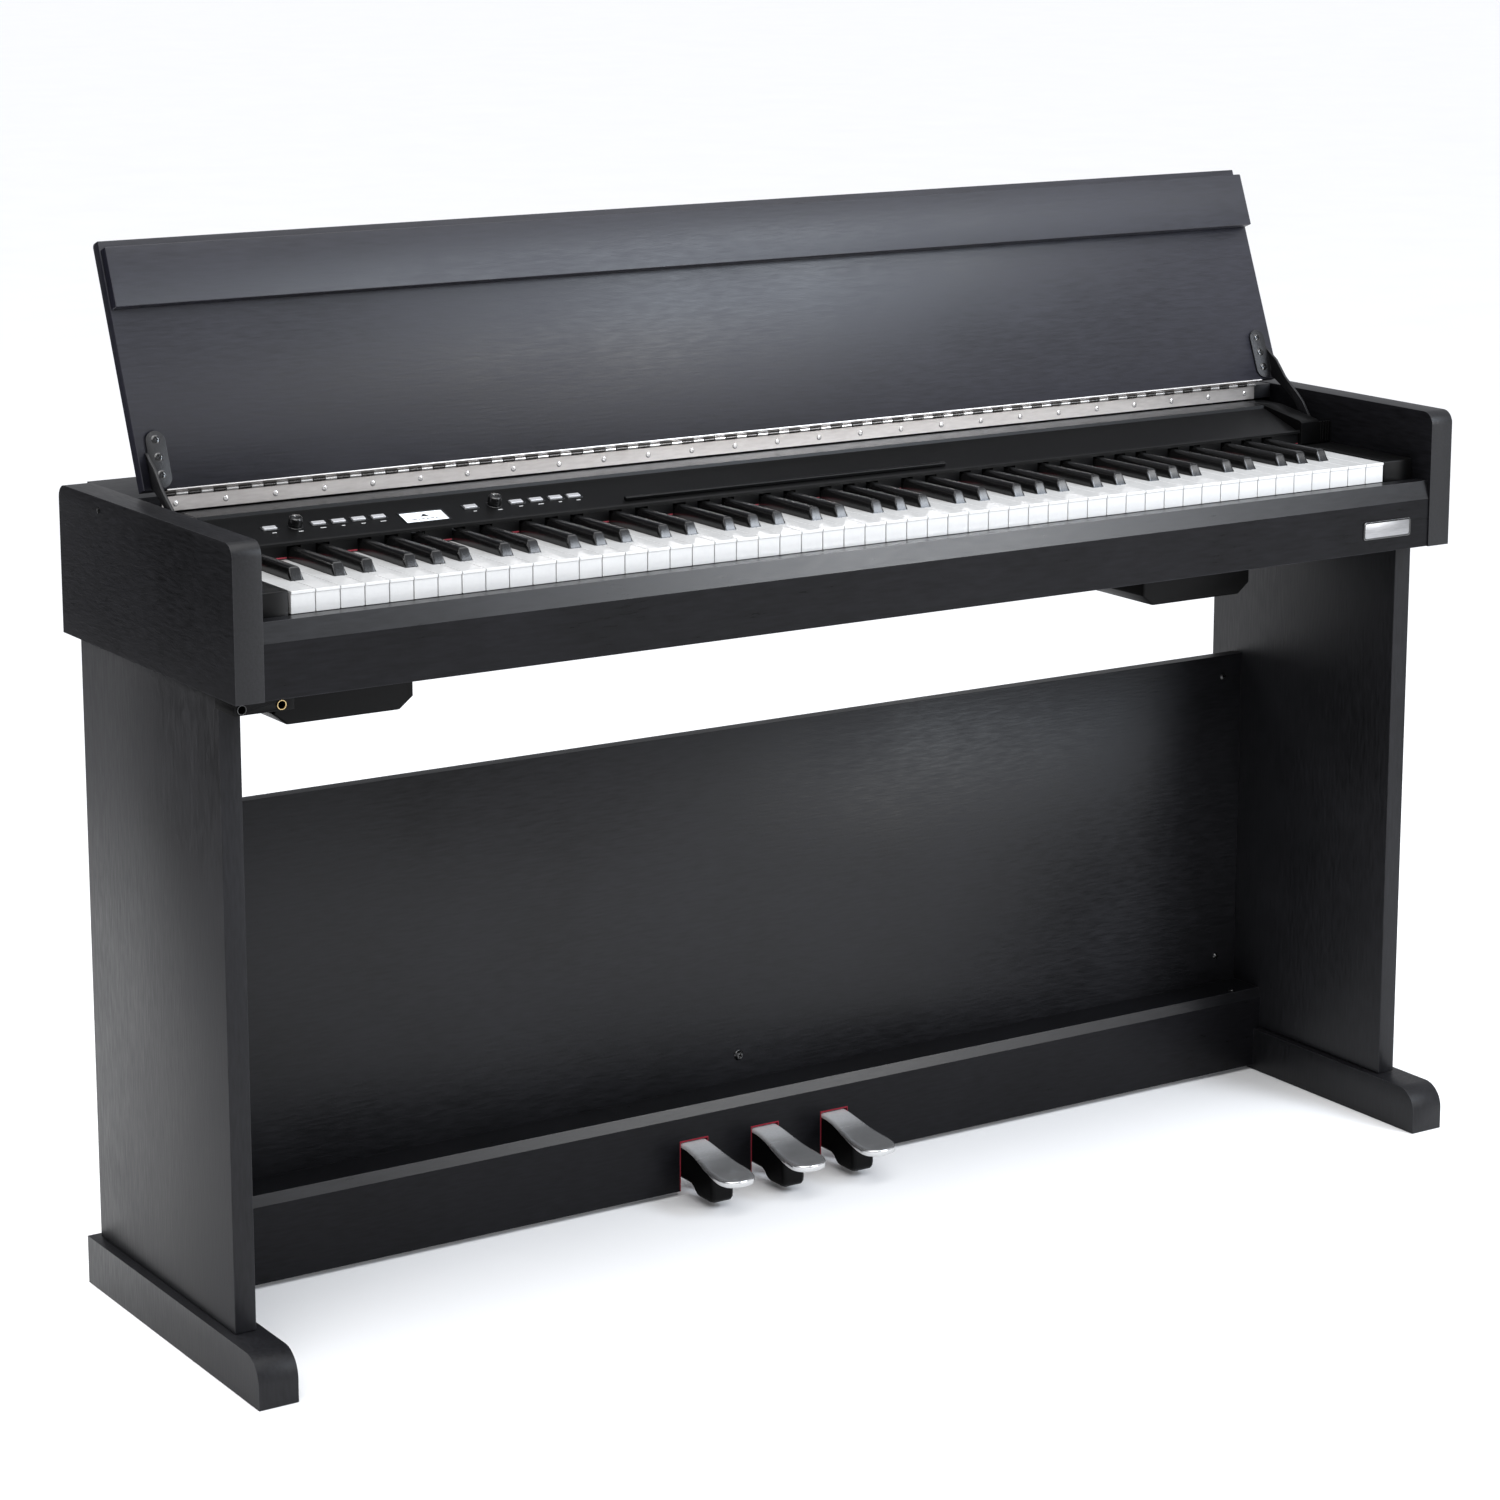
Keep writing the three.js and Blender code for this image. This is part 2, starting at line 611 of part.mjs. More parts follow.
/** One leaf of the long hinge: a plate and every other knuckle. side is +1 body, -1 lid. */
function hingeLeaf(side, low, phase) {
  const depth = side > 0 ? [LEAF_NEAR, LEAF_FAR] : [-LEAF_FAR, -LEAF_NEAR];
  const parts = [box([-HINGE_X, HINGE_X], depth, [low, LEAF_TOP])];
  const long = (2 * HINGE_X) / KNUCKLES;
  const shape = outline(ring(KNUCKLE_SIDES, KNUCKLE_OUT));
  const bore = outline(ring(KNUCKLE_SIDES, KNUCKLE_IN));
  shape.holes.push(bore);
  for (let i = phase; i < KNUCKLES; i += 2) {
    const span = [-HINGE_X + i * long + GAP, -HINGE_X + (i + 1) * long - GAP];
    parts.push(alongX(shape, span), box(span, depth, [LEAF_TOP - 1, TAB_TOP]));
  }
  return union(parts);
}

function addLid() {
  const under = LID_TOP - LID_THICK;
  const profile = outline([
    [LID_REAR, under],
    [LID_REAR, LID_TOP],
    [LID_FRONT + LID_EASE, LID_TOP],
    [LID_FRONT + 1, LID_TOP - 1],
    [LID_FRONT, LID_TOP - LID_EASE],
    [LID_FRONT, under + 1],
    [LID_FRONT + 1, under],
  ]);
  piece(lid, 'lid_panel', alongX(profile, [-LID_X, LID_X]), LAMINATE);
  piece(lid, 'hinge_lid_leaf', hingeLeaf(-1, LID_LEAF_LOW, 0), NICKEL);
  const leaf = piece(body, 'hinge_body_leaf', hingeLeaf(1, BODY_LEAF_LOW, 1), NICKEL);
  leaf.position.set(0, HINGE_Y, HINGE_Z);
  const pin = alongX(outline(ring(KNUCKLE_SIDES, PIN_RADIUS)), [-HINGE_X, HINGE_X]);
  piece(lid, 'hinge_pin', pin, NICKEL);
}

/** The flap lies folded on the lid's underside and turns out about the lid's front edge. */
function addFlap() {
  const under = LID_TOP - LID_THICK - GAP;
  const depth = [FLAP_AXIS_Y, FLAP_AXIS_Y + FLAP_HEIGHT];
  const flap = box([-FLAP_X, FLAP_X], depth, [under - FLAP_THICK, under]);
  piece(lid, 'lid_flap', flap, LAMINATE);
}

/** A flat strip, long in Y, with a half circle at each end. */
function pillShape([x0, x1], [y0, y1]) {
  const half = (x1 - x0) / 2;
  const middle = (x0 + x1) / 2;
  const shape = new THREE.Shape();
  shape.absarc(middle, y1 - half, half, 0, Math.PI);
  shape.absarc(middle, y0 + half, half, Math.PI, 2 * Math.PI);
  return shape;
}

/** A stay: a plate screwed under the lid and a curved arm that drops into the body. */
function stay(side) {
  const place = side > 0 ? (span) => span : mirrored;
  const top = LID_TOP - LID_THICK - GAP;
  const plan = pillShape(place(STAY_PLATE_X), STAY_PLATE_Y);
  const plate = alongZ(plan, [top - STAY_PLATE_THICK, top]);
  return union([plate, alongX(outline(STAY_ARM), place(STAY_ARM_X))]);
}

function addStays() {
  piece(lid, 'left_lid_stay', stay(-1), BLACK_STEEL);
  piece(lid, 'right_lid_stay', stay(1), BLACK_STEEL);
}

// ---------- speakers and headphone box ----------

/** A tub hung under the keybed, open at the top, with a round mouth for the driver. */
function speakerBox(side) {
  const place = side > 0 ? (span) => span : mirrored;
  const [inner, outer] = SPEAKER_X;
  const [cx, cz] = SPEAKER_CHAMFER;
  const high = KEYBED_UNDER - GAP;
  const front = [
    [inner, high], [inner, SPEAKER_LOW + cz], [inner + cx, SPEAKER_LOW],
    [outer - cx, SPEAKER_LOW], [outer, SPEAKER_LOW + cz], [outer, high],
  ];
  const depth = SPEAKER_Y[1] - SPEAKER_Y[0];
  const block = new THREE.ExtrudeGeometry(outline(front), { depth, bevelEnabled: false });
  block.rotateX(Math.PI / 2).translate(0, SPEAKER_Y[1], 0);
  if (side < 0) block.rotateZ(Math.PI).translate(0, SPEAKER_Y[0] + SPEAKER_Y[1], 0);
  const wall = SPEAKER_WALL + SPEAKER_CHAMFER[0] / 2;
  const room = box(
    place([inner + wall, outer - wall]),
    [SPEAKER_Y[0] + SPEAKER_WALL, SPEAKER_Y[1] - SPEAKER_WALL],
    [SPEAKER_LOW + SPEAKER_WALL, high + 1],
  );
  const mouth = new THREE.CylinderGeometry(
    GRILLE_RADIUS,
    GRILLE_RADIUS,
    MOUTH_LONG,
    DRIVER_SIDES,
  );
  mouth.rotateX(Math.PI / 2).translate(...driverCentre(side), SPEAKER_LOW);
  return cut(block, [room, mouth]);
}

function driverCentre(side) {
  const x = (side * (SPEAKER_X[0] + SPEAKER_X[1])) / 2;
  return [x, (SPEAKER_Y[0] + SPEAKER_Y[1]) / 2];
}

/** A loudspeaker: rim, cone basket and magnet, facing down. */
function driver() {
  const rest = SPEAKER_LOW + SPEAKER_WALL + GAP;
  const points = DRIVER_PROFILE.map(([r, h]) => new THREE.Vector2(r, h));
  return new THREE.LatheGeometry(points, DRIVER_SIDES).rotateX(Math.PI / 2).translate(0, 0, rest);
}

function addSpeakers() {
  [['left', -1], ['right', 1]].forEach(([name, side]) => {
    piece(body, `${name}_speaker_box`, speakerBox(side), MOULDING);
    const unit = driver().translate(...driverCentre(side), 0);
    piece(body, `${name}_speaker_driver`, unit, BLACK_STEEL);
  });
}

/** A round hole that runs JACK_DEPTH into a face that looks to the front or the rear. */
function socketHole(x, depth, z) {
  const hole = new THREE.CylinderGeometry(JACK_RADIUS, JACK_RADIUS, 2 * JACK_DEPTH, HOLE_SIDES);
  return hole.translate(x, depth, z);
}

/** A slim jack box under the left front corner of the body, in front of the stand. */
function addHeadphoneBox() {
  const shell = box(PHONES_X, PHONES_Y, [PHONES_LOW, BODY_BOTTOM - GAP]);
  const sockets = PHONES_SOCKETS.x.map((x) => socketHole(x, PHONES_Y[0], PHONES_SOCKETS.z));
  piece(body, 'headphone_box', cut(shell, sockets), MOULDING);
}

// ---------- stand ----------

function footShape() {
  const shape = new THREE.Shape();
  shape.moveTo(FOOT_FRONT, 0);
  shape.lineTo(FOOT_BACK, 0);
  shape.lineTo(FOOT_BACK, FOOT_HEIGHT - GAP);
  shape.lineTo(FOOT_FRONT + FOOT_ROUND, FOOT_HEIGHT - GAP);
  const centreZ = FOOT_HEIGHT - GAP - FOOT_ROUND;
  shape.absarc(FOOT_FRONT + FOOT_ROUND, centreZ, FOOT_ROUND, Math.PI / 2, Math.PI);
  shape.lineTo(FOOT_FRONT, 0);
  return shape;
}

/** The pedal beam: a front board and a top board in one piece, with a notch for each pedal. */
function pedalBeam() {
  const profile = outline([
    [BEAM_FRONT, BEAM_LOW],
    [BEAM_FRONT + BEAM_WALL, BEAM_LOW],
    [BEAM_FRONT + BEAM_WALL, BEAM_TOP - BEAM_SKIN],
    [BACK_PANEL_Y[0] - GAP, BEAM_TOP - BEAM_SKIN],
    [BACK_PANEL_Y[0] - GAP, BEAM_TOP],
    [BEAM_BEVEL_Y, BEAM_TOP],
    [BEAM_FRONT, BEAM_BEVEL_Z],
  ]);
  const notches = PEDALS.map(([, x]) =>
    box([x - NOTCH_HALF, x + NOTCH_HALF], [BEAM_FRONT - 5, BEAM_FRONT + BEAM_WALL + 5], [0, NOTCH_TOP]));
  const end = STAND_INNER_X - GAP;
  const overFoot = [FOOT_INNER_X - GAP, end + 1];
  const steps = [overFoot, mirrored(overFoot)].map((span) =>
    box(span, [BEAM_FRONT - 5, BACK_PANEL_Y[0]], [0, FOOT_HEIGHT]));
  return cut(alongX(profile, [-end, end]), [...notches, ...steps]);
}

function addStand() {
  const panelSpan = [STAND_INNER_X, STAND_OUTER_X];
  const height = [FOOT_HEIGHT, BODY_BOTTOM - GAP];
  const depth = [STAND_FRONT, STAND_BACK];
  piece(body, 'left_stand_panel', box(mirrored(panelSpan), depth, height), LAMINATE);
  piece(body, 'right_stand_panel', box(panelSpan, depth, height), LAMINATE);
  const footSpan = [FOOT_INNER_X, FOOT_OUTER_X];
  piece(body, 'left_foot', alongX(footShape(), mirrored(footSpan)), LAMINATE);
  piece(body, 'right_foot', alongX(footShape(), footSpan), LAMINATE);
  const across = [-STAND_INNER_X + GAP, STAND_INNER_X - GAP];
  piece(body, 'back_panel', box(across, BACK_PANEL_Y, BACK_PANEL_Z), LAMINATE);
  piece(body, 'pedal_beam', pedalBeam(), LAMINATE);
}

// ---------- pedals ----------

/** The polished plate: a curved band in side view, trimmed to the plan of the pedal. */
function pedalPlate() {
  const under = PLATE_CURVE.slice(0, -2).map(([y, z]) => [y, z - PLATE_THICK]);
  under.push([PLATE_CURVE.at(-1)[0] + PLATE_THICK, PLATE_CURVE.at(-1)[1]]);
  const band = alongX(outline([...PLATE_CURVE, ...under.reverse()].reverse()), PLATE_BLANK.x);
  const plan = alongZ(outline(PLATE_OUTLINE), PLATE_BLANK.z);
  return toGeometry(solid(band).intersect(solid(plan)));
}

function addPedals() {
  PEDALS.forEach(([name, x]) => {
    const boot = alongX(outline(BOOT_PROFILE), [x - BOOT_HALF, x + BOOT_HALF]);
    piece(body, `${name}_boot`, boot, MOULDING);
    piece(body, `${name}_plate`, pedalPlate().translate(x, 0, 0), CHROME);
  });
}

function addBadge() {
  const { x, z, wide, high, round, thick } = BADGE;
  const shape = new THREE.Shape();
  const right = wide / 2 - round;
  const top = high / 2 - round;
  shape.absarc(right, top, round, 0, Math.PI / 2);
  shape.absarc(-right, top, round, Math.PI / 2, Math.PI);
  shape.absarc(-right, -top, round, Math.PI, 1.5 * Math.PI);
  shape.absarc(right, -top, round, 1.5 * Math.PI, 2 * Math.PI);
  const options = { depth: thick, bevelEnabled: false, curveSegments: 4 };
  const plate = new THREE.ExtrudeGeometry(shape, options).rotateX(Math.PI / 2);
  piece(body, 'badge_plate', plate.translate(x, SLIP_FRONT - GAP, z), NICKEL);
}

addCabinet();
addKeyBlocks();
addEndCaps();
addControlPanel();
addButtons();
addKnobs();
addPanelTrim();
addKeys();
addFelt();
addInnerPieces();
addLid();
addFlap();
addStays();
addSpeakers();
addHeadphoneBox();
addStand();
addPedals();
addBadge();

export default group;
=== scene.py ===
import math
import random

import bmesh
import bpy
from mathutils import Matrix, Vector, geometry


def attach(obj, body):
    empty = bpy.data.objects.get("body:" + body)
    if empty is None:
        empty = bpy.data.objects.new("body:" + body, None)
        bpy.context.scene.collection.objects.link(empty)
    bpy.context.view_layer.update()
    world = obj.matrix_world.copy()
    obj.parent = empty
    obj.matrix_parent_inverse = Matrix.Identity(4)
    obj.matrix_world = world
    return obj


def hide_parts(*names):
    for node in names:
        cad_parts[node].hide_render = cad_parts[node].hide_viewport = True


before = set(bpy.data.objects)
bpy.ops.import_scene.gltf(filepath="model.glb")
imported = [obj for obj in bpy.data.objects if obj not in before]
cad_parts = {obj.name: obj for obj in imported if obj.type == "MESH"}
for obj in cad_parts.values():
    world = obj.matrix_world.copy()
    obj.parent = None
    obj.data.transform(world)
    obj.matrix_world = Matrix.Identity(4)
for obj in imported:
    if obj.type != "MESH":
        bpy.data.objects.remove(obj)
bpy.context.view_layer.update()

# Digital piano on its stand: 88 separate keys, hinged lid with flap, controls, pedals and fittings.
# Sizes are in millimetres. A depth is measured from the front face of the body towards the rear,
# as in the CAD source, and at() turns it into the row frame in metres.

random.seed(88)

MM = 0.001
FRONT_TO_ORIGIN = 171.5

# Keyboard
WHITE_COUNT = 52
WHITE_PITCH = 23.57
WHITE_GAP = 0.9
WHITE_FRONT = 26.5
WHITE_LIP = 0.9
WHITE_LIP_UNDER = 702.2
WHITE_HEAD_BACK = 66.8
WHITE_BACK = 262
WHITE_UNDER = 685
WHITE_TOP = 705
BLACK_WIDTH = 12.6
BLACK_CLEAR = 0.6
BLACK_BACK = 222
BLACK_UNDER = 693
REGISTERS = (("low", 0, 15), ("middle", 16, 36), ("high", 37, 51))

# Control panel
SLOPE_LOW = (160, 720.5)
SLOPE_HIGH = (212, 737)
CONTROL_ROW = 27
BUTTON_X = (-554, -506, -486, -466, -446, -352, -304, -283, -262.5, -243)
KNOBS = (("volume", -529), ("data", -327))
FELT_X = 611.6
FELT_Y = (157.5, 159.5)
FELT_UNDER = 706
FELT_TOP = 707.4
# Black blocks and bar above the felt, as painted shade.
SHADE_BLOCK_EAVES = 716.95
SHADE_BLOCK_TOP = 718.1
DISPLAY_X = (-425, -382)
DISPLAY_SPAN = (9.5, 28)

# Lid and hinge
OPEN_DEG = 111.5
HINGE_Y = 247.2
HINGE_Z = 757
HINGE_X = 628
KNUCKLES = 102
LID_UNDER = -13.5
STAY_X = 631.6
STAY_THICK = 1.65
STAY_SCREW_Y = (-47, -31, -15)

# Pedals
PEDALS = (("left", -79), ("centre", 5), ("right", 89))
# Painted sheen: where the pedal plate turns non-metallic towards the back, so its rear shows a pale
# lit grey in place of a reflection.
REAR_SHEEN_FROM = (198 - FRONT_TO_ORIGIN) * MM
REAR_SHEEN_TO = (250 - FRONT_TO_ORIGIN) * MM
REAR_SHEEN_METALLIC = 0.1
# Each station along a plate: depth, half width, height of the crown.
PLATE_STATIONS = (
    (268, 15, 54.4), (254, 15, 54.4), (240, 15, 54.35), (232, 15, 53.85), (224, 15.1, 52.6),
    (216, 15.6, 51), (208, 16.4, 49.05), (200, 17.4, 47.1), (192, 18.5, 45.45),
    (184, 19.4, 44.25), (176, 20.2, 43.45), (168, 20.4, 42.8), (162, 19.8, 42.2),
    (157.5, 18.4, 41.75), (154, 16.2, 41.45), (151.4, 13.2, 41.3), (149.6, 9.4, 41.2),
    (148.4, 4.9, 41.15), (148, 0, 41.15),
)


def at(x, depth, z):
    """A point given by its place along the keyboard, its depth behind the front, and its height."""
    return Vector((x, depth - FRONT_TO_ORIGIN, z)) * MM


def along_x(depth, z, x):
    return at(x, depth, z)


SLOPE = Matrix.Translation(at(0, *SLOPE_LOW)) @ Matrix.Rotation(
    math.atan2(SLOPE_HIGH[1] - SLOPE_LOW[1], SLOPE_HIGH[0] - SLOPE_LOW[0]), 4, "X"
)
LID = Matrix.Translation(at(0, HINGE_Y, HINGE_Z)) @ Matrix.Rotation(
    math.radians(-OPEN_DEG), 4, "X"
)


def on_slope(x, up, out):
    """A point on the sloping panel: across, up the slope and out of it."""
    return SLOPE @ (Vector((x, up, out)) * MM)


def on_lid(x, y, z):
    """A point in the closed lid's frame, carried to where the lid stands open."""
    return LID @ (Vector((x, y, z)) * MM)


# ---------- materials ----------

def add(tree, kind, values=(), **settings):
    """Adds a shader node. A value may be a number, a colour or another node's output."""
    made = tree.nodes.new("ShaderNode" + kind)
    for name, setting in settings.items():
        setattr(made, name, setting)
    for socket, value in dict(values).items():
        if isinstance(value, bpy.types.NodeSocket):
            tree.links.new(value, made.inputs[socket])
        else:
            made.inputs[socket].default_value = value
    return made


def ranged(tree, value, low, high):
    """Spreads the middle of a noise over the range from low to high."""
    values = {"Value": value, "From Min": 0.3, "From Max": 0.7, "To Min": low, "To Max": high}
    return add(tree, "MapRange", values).outputs[0]


def surface(name, dark, light, rough, grain, relief, stretch=(1, 1, 1), cloud=7.0, depth=0.0002,
            wear_and_edge_highlight=None, wear_and_highlight_width=0.0012, painted_side_shine=None, painted_bevel_shine=None,
            rear_painted_sheen=False, **fixed):
    """A material whose colour, roughness and relief follow a fine grain and a broad cloudiness.

    The edge lightening stands for rubbed wear and is also a painted edge highlight. The side shine
    is a specular level painted by which way a face points: lower on sideways faces is painted
    shade, higher is a painted highlight. The bevel shine is a specular level painted onto bevels
    that look upwards, a painted highlight. The rear sheen turns polished metal non-metallic at the
    back, a painted pale sheen in place of its reflection.
    """
    material = bpy.data.materials.new(name)
    material.use_nodes = True
    tree = material.node_tree
    shader = tree.nodes["Principled BSDF"]
    for socket, value in fixed.items():
        shader.inputs[socket.replace("_", " ")].default_value = value
    place = add(tree, "TexCoord").outputs["Object"]
    mapped = add(tree, "Mapping", {"Vector": place, "Scale": stretch}).outputs[0]
    fine = add(tree, "TexNoise", {"Vector": mapped, "Scale": grain, "Detail": 3.0}).outputs[0]
    broad = add(tree, "TexNoise", {"Vector": place, "Scale": cloud, "Detail": 2.0}).outputs[0]
    both = add(tree, "Mix", {0: 0.4, 2: fine, 3: broad}, data_type="FLOAT").outputs[0]
    ramp = add(tree, "ValToRGB", {"Fac": both})
    ramp.color_ramp.elements[0].position = 0.3
    ramp.color_ramp.elements[0].color = (*dark, 1)
    ramp.color_ramp.elements[1].position = 0.7
    ramp.color_ramp.elements[1].color = (*light, 1)
    colour = ramp.outputs[0]
    # Lighter edges: rubbed wear, and also a painted edge highlight.
    if wear_and_edge_highlight:
        eased = add(tree, "Bevel", {"Radius": wear_and_highlight_width}, samples=4).outputs[0]
        face = add(tree, "NewGeometry").outputs["Normal"]
        facing = add(tree, "VectorMath", {0: eased, 1: face}, operation="DOT_PRODUCT")
        edge = add(tree, "MapRange", {"Value": facing.outputs["Value"], "From Min": 0.99,
                                      "From Max": 0.8, "To Min": 0.0, "To Max": 1.0}).outputs[0]
        rubbed_and_highlit = add(tree, "Math", {0: edge, 1: fine}, operation="MULTIPLY").outputs[0]
        mix = add(tree, "Mix", {0: rubbed_and_highlit, 6: colour, 7: (*wear_and_edge_highlight, 1)}, data_type="RGBA")
        colour = mix.outputs[2]
    # Painted light by facing: the specular level follows how far a face looks sideways; lower there
    # is painted shade, higher is a painted highlight.
    if painted_side_shine is not None:
        across = add(tree, "SeparateXYZ", {0: add(tree, "NewGeometry").outputs["Normal"]})
        sideways = add(tree, "Math", {0: across.outputs["X"]}, operation="ABSOLUTE").outputs[0]
        painted_shine = add(tree, "MapRange", {"Value": sideways, "From Min": 0.6, "From Max": 0.95,
                                       "To Min": fixed["Specular_IOR_Level"],
                                       "To Max": painted_side_shine}).outputs[0]
        tree.links.new(painted_shine, shader.inputs["Specular IOR Level"])
    # Painted highlight: bevels that look upwards get a higher specular level.
    if painted_bevel_shine is not None:
        upward = add(tree, "SeparateXYZ", {0: add(tree, "NewGeometry").outputs["Normal"]})
        painted_shine = add(tree, "MapRange", {"Value": upward.outputs["Z"], "From Min": 0.08,
                                       "From Max": 0.2, "To Min": fixed["Specular_IOR_Level"],
                                       "To Max": painted_bevel_shine}).outputs[0]
        tree.links.new(painted_shine, shader.inputs["Specular IOR Level"])
    # Painted sheen: towards the back the metal turns non-metallic, so it shows a pale lit grey in
    # place of its reflection.
    if rear_painted_sheen:
        depth_along = add(tree, "SeparateXYZ", {0: place}).outputs["Y"]
        painted_rear_sheen = add(tree, "MapRange", {"Value": depth_along, "From Min": REAR_SHEEN_FROM,
                                        "From Max": REAR_SHEEN_TO, "To Min": fixed["Metallic"],
                                        "To Max": REAR_SHEEN_METALLIC}).outputs[0]
        tree.links.new(painted_rear_sheen, shader.inputs["Metallic"])
    tree.links.new(colour, shader.inputs["Base Color"])
    tree.links.new(ranged(tree, both, *rough), shader.inputs["Roughness"])
    bump = add(tree, "Bump", {"Strength": relief, "Distance": depth, "Height": fine})
    tree.links.new(bump.outputs[0], shader.inputs["Normal"])
    return material


def grey(value, blue=0.0):
    """A near-neutral colour with a little blue in it."""
    return (value, value, value * (1 + blue))


